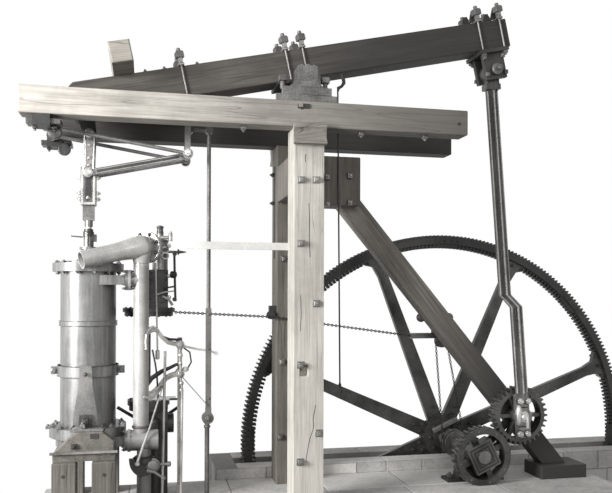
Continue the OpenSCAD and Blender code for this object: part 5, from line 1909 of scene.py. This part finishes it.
@dataclass
class Hangings:
    """The plug rod's fittings, the governor's chain to the throttle and its chain from the shaft."""

    paint: Paintbox
    roller: Point = (-0.228, 0.27, FLOOR + 1.812)
    shaft: Point = (2.03, 0.6, FLOOR + 0.31)
    shaft_radius: float = 0.136
    pulley_radius: float = 0.068
    # Length of a link and radius of its wire, for each chain and for the bends
    line_link: Flat = (0.032, 0.0062)
    drive_link: Flat = (0.036, 0.0048)
    bend_link: Flat = (0.034, 0.0048)

    def plug_rod_fittings(self) -> None:
        """Adds the plug rod's pin, collars and nuts."""
        rods = Shape()
        rods.sweep(raised([(-1.10, 0.0, 3.715), (-0.93, 0.0, 3.705)]), 0.02, 12, 0.7)
        for x in (-1.10, -0.905):
            rods.lathe([(0.04, -0.05), (0.04, 0.05)], (x, 0.0, FLOOR + 3.71), BACK)
        collar = [(0.030, 0.0), (0.033, 0.005), (0.033, 0.02), (0.030, 0.025)]
        for z in (0.70, 0.745):
            rods.lathe(collar, (-0.917, 0.0, FLOOR + z), UP, 24)
        for side in SIDES:
            rods.nut((-0.911, side * 0.034, FLOOR + 0.80), (0, side, 0), 0.055, 6, 0.6)
        for z in (1.0, 1.5, 1.85):
            rods.nut((-0.905, -0.02, FLOOR + z), FRONT, 0.024)
        rods.make("plug_rod_fittings", self.paint, Finish.ROD_IRON, 0.002)

    def governor_chain(self) -> None:
        """Adds the governor's chain, which bends over the far post's roller."""
        (x0, _, z0), (x1, _, z1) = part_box("governor_line")
        line = Shape()
        line.chain((x0, 0.225, z1 - 0.030), self.roller, *self.line_link)
        line.chain(self.roller, (x1, 0.33, z0 + 0.006), *self.line_link)
        piece = line.make("governor_chain", self.paint, Finish.WHEEL_IRON)
        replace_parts(piece, "governor_line")

    def pulley(self) -> Point:
        """Returns: the middle of the governor's pulley."""
        (x0, _, _), (_, _, z1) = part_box("governor_drive")
        return (x0 + self.pulley_radius + 0.006, 0.6, z1 - 0.074)

    def bend(self, drive: Shape, centre: Vector, radius: float, first: float, last: float) -> None:
        """Lays links round a pulley.

        Args:
            drive: takes the links.
            centre: middle of the pulley.
            radius: of the chain on it.
            first: angle in radians where the chain comes on.
            last: angle where it leaves.
        """
        count = max(3, round(radius * (last - first) / 0.028))
        angles = [first + (last - first) * k / count for k in range(count + 1)]
        spots = [centre + radius * Vector((math.cos(angle), 0, math.sin(angle))) for angle in angles]
        for start, end in zip(spots, spots[1:]):
            drive.chain(start, end, *self.bend_link)

    def governor_drive(self) -> None:
        """Adds the chain from the shaft to the governor's pulley, as two runs and two bends."""
        hub, top = Vector(self.shaft), Vector(self.pulley())
        way = (top - hub).normalized()
        start = math.atan2(way.z, way.x)
        lean = math.acos((self.shaft_radius - self.pulley_radius) / (top - hub).length)
        drive = Shape()
        for side in SIDES:
            angle = start + side * lean
            out = Vector((math.cos(angle), 0.0, math.sin(angle)))
            drive.chain(hub + out * self.shaft_radius, top + out * self.pulley_radius, *self.drive_link)
        self.bend(drive, hub, self.shaft_radius, start + lean, start + math.tau - lean)
        self.bend(drive, top, self.pulley_radius, start - lean, start + lean)
        piece = drive.make("governor_drive_chain", self.paint, Finish.WHEEL_IRON)
        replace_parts(piece, "governor_drive")

    def build(self) -> None:
        """Adds every piece in order."""
        self.plug_rod_fittings()
        self.governor_chain()
        self.governor_drive()


# Light, camera and the whole scene


@dataclass(frozen=True)
class Lamp:
    """A soft rectangular lamp that looks at a point."""

    name: str
    at: Point
    look: Point
    size: Flat
    watts: float

    def build(self) -> None:
        """Adds the lamp to the scene."""
        light = bpy.data.lights.new(self.name, "AREA")
        light.shape = "RECTANGLE"
        light.size, light.size_y = self.size
        light.energy = self.watts
        lamp = bpy.data.objects.new(self.name, light)
        bpy.context.scene.collection.objects.link(lamp)
        lamp.location = self.at
        lamp.rotation_euler = (Vector(self.look) - Vector(self.at)).to_track_quat("-Z", "Y").to_euler()


@dataclass(frozen=True)
class Camera:
    """The photo's camera, level and turned a little to the right."""

    at: Point = (-1.528, -7.454, 2.071 + FLOOR)
    yaw: float = 12.367
    roll: float = 0.17
    lens: float = 43.0
    rise: float = 0.0755

    def build(self) -> None:
        """Adds the camera and makes it the scene's."""
        data = bpy.data.cameras.new("photo_camera")
        data.lens = self.lens
        data.shift_y = self.rise
        camera = bpy.data.objects.new("photo_camera", data)
        bpy.context.scene.collection.objects.link(camera)
        level = Matrix.Rotation(math.radians(90), 4, "X")
        turn = Matrix.Rotation(math.radians(-self.yaw), 4, "Z") @ level
        rolled = Matrix.Rotation(math.radians(self.roll), 4, "Z")
        camera.matrix_world = Matrix.Translation(Vector(self.at)) @ turn @ rolled
        bpy.context.scene.camera = camera


@dataclass(frozen=True)
class Room:
    """A white room, whose light is weaker from below than from above."""

    above: float = 0.46
    below: float = 0.06
    horizon: Flat = (-0.5, 0.7)

    def soft_light(self, world: bpy.types.World) -> bpy.types.NodeSocket:
        """Adds the light that falls on the engine.

        Args:
            world: takes the nodes.

        Returns:
            The light.
        """
        nodes, links = world.node_tree.nodes, world.node_tree.links
        soft = nodes.new("ShaderNodeBackground")
        soft.inputs["Color"].default_value = (1.0, 1.0, 1.0, 1.0)
        height = nodes.new("ShaderNodeSeparateXYZ")
        links.new(nodes.new("ShaderNodeTexCoord").outputs["Generated"], height.inputs[0])
        fall = nodes.new("ShaderNodeMapRange")
        for key, value in enumerate((*self.horizon, self.below, self.above), start=1):
            fall.inputs[key].default_value = value
        links.new(height.outputs["Z"], fall.inputs[0])
        links.new(fall.outputs[0], soft.inputs["Strength"])
        return soft.outputs[0]

    def seen(self, world: bpy.types.World) -> bpy.types.NodeSocket:
        """Finds the rays that show the room itself.

        Args:
            world: takes the nodes.

        Returns:
            1 for a ray from the camera, a mirror or a glass, and 0 for others.
        """
        nodes, links = world.node_tree.nodes, world.node_tree.links
        path = nodes.new("ShaderNodeLightPath")
        share = path.outputs["Is Camera Ray"]
        for ray in ("Is Glossy Ray", "Is Transmission Ray"):
            either = nodes.new("ShaderNodeMath")
            either.operation = "MAXIMUM"
            links.new(share, either.inputs[0])
            links.new(path.outputs[ray], either.inputs[1])
            share = either.outputs[0]
        return share

    def build(self) -> None:
        """Makes the room the scene's world."""
        world = bpy.data.worlds.new("white_room")
        bpy.context.scene.world = world
        world.use_nodes = True
        nodes, links = world.node_tree.nodes, world.node_tree.links
        nodes.clear()
        seen, soft = self.seen(world), self.soft_light(world)
        white = nodes.new("ShaderNodeBackground")
        white.inputs["Color"].default_value = (1.0, 1.0, 1.0, 1.0)
        white.inputs["Strength"].default_value = 1.0
        mix = nodes.new("ShaderNodeMixShader")
        out = nodes.new("ShaderNodeOutputWorld")
        for socket, key in ((seen, 0), (soft, 1), (white.outputs[0], 2)):
            links.new(socket, mix.inputs[key])
        links.new(mix.outputs[0], out.inputs["Surface"])


WINDOW = Lamp("window", (-7.8, -4.2, 5.6), (-0.5, 0.0, 4.2), (3.0, 4.0), 1500.0)
ROOM_LAMP = Lamp("room", (0.0, -9.5, 7.5), (0.5, 0.0, 4.0), (5.0, 3.0), 260.0)


def main() -> None:
    """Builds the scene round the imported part."""
    logging.basicConfig(level=logging.INFO, format="%(message)s")
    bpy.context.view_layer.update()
    bpy.context.scene.view_settings.view_transform = "Standard"
    Camera().build()
    paint = Paintbox()
    paint.dress(frame["nodes"])
    Masonry(paint).build()
    TimberIron(paint).build()
    BeamIron(paint).build()
    GearTrain(paint).build()
    Flywheel(paint).build()
    ParallelMotion(paint).build()
    Cylinder(paint).build()
    SteamWork(paint).build()
    ValveGear(paint).build()
    Hangings(paint).build()
    Room().build()
    WINDOW.build()
    ROOM_LAMP.build()
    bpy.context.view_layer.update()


if __name__ == "__main__":
    main()
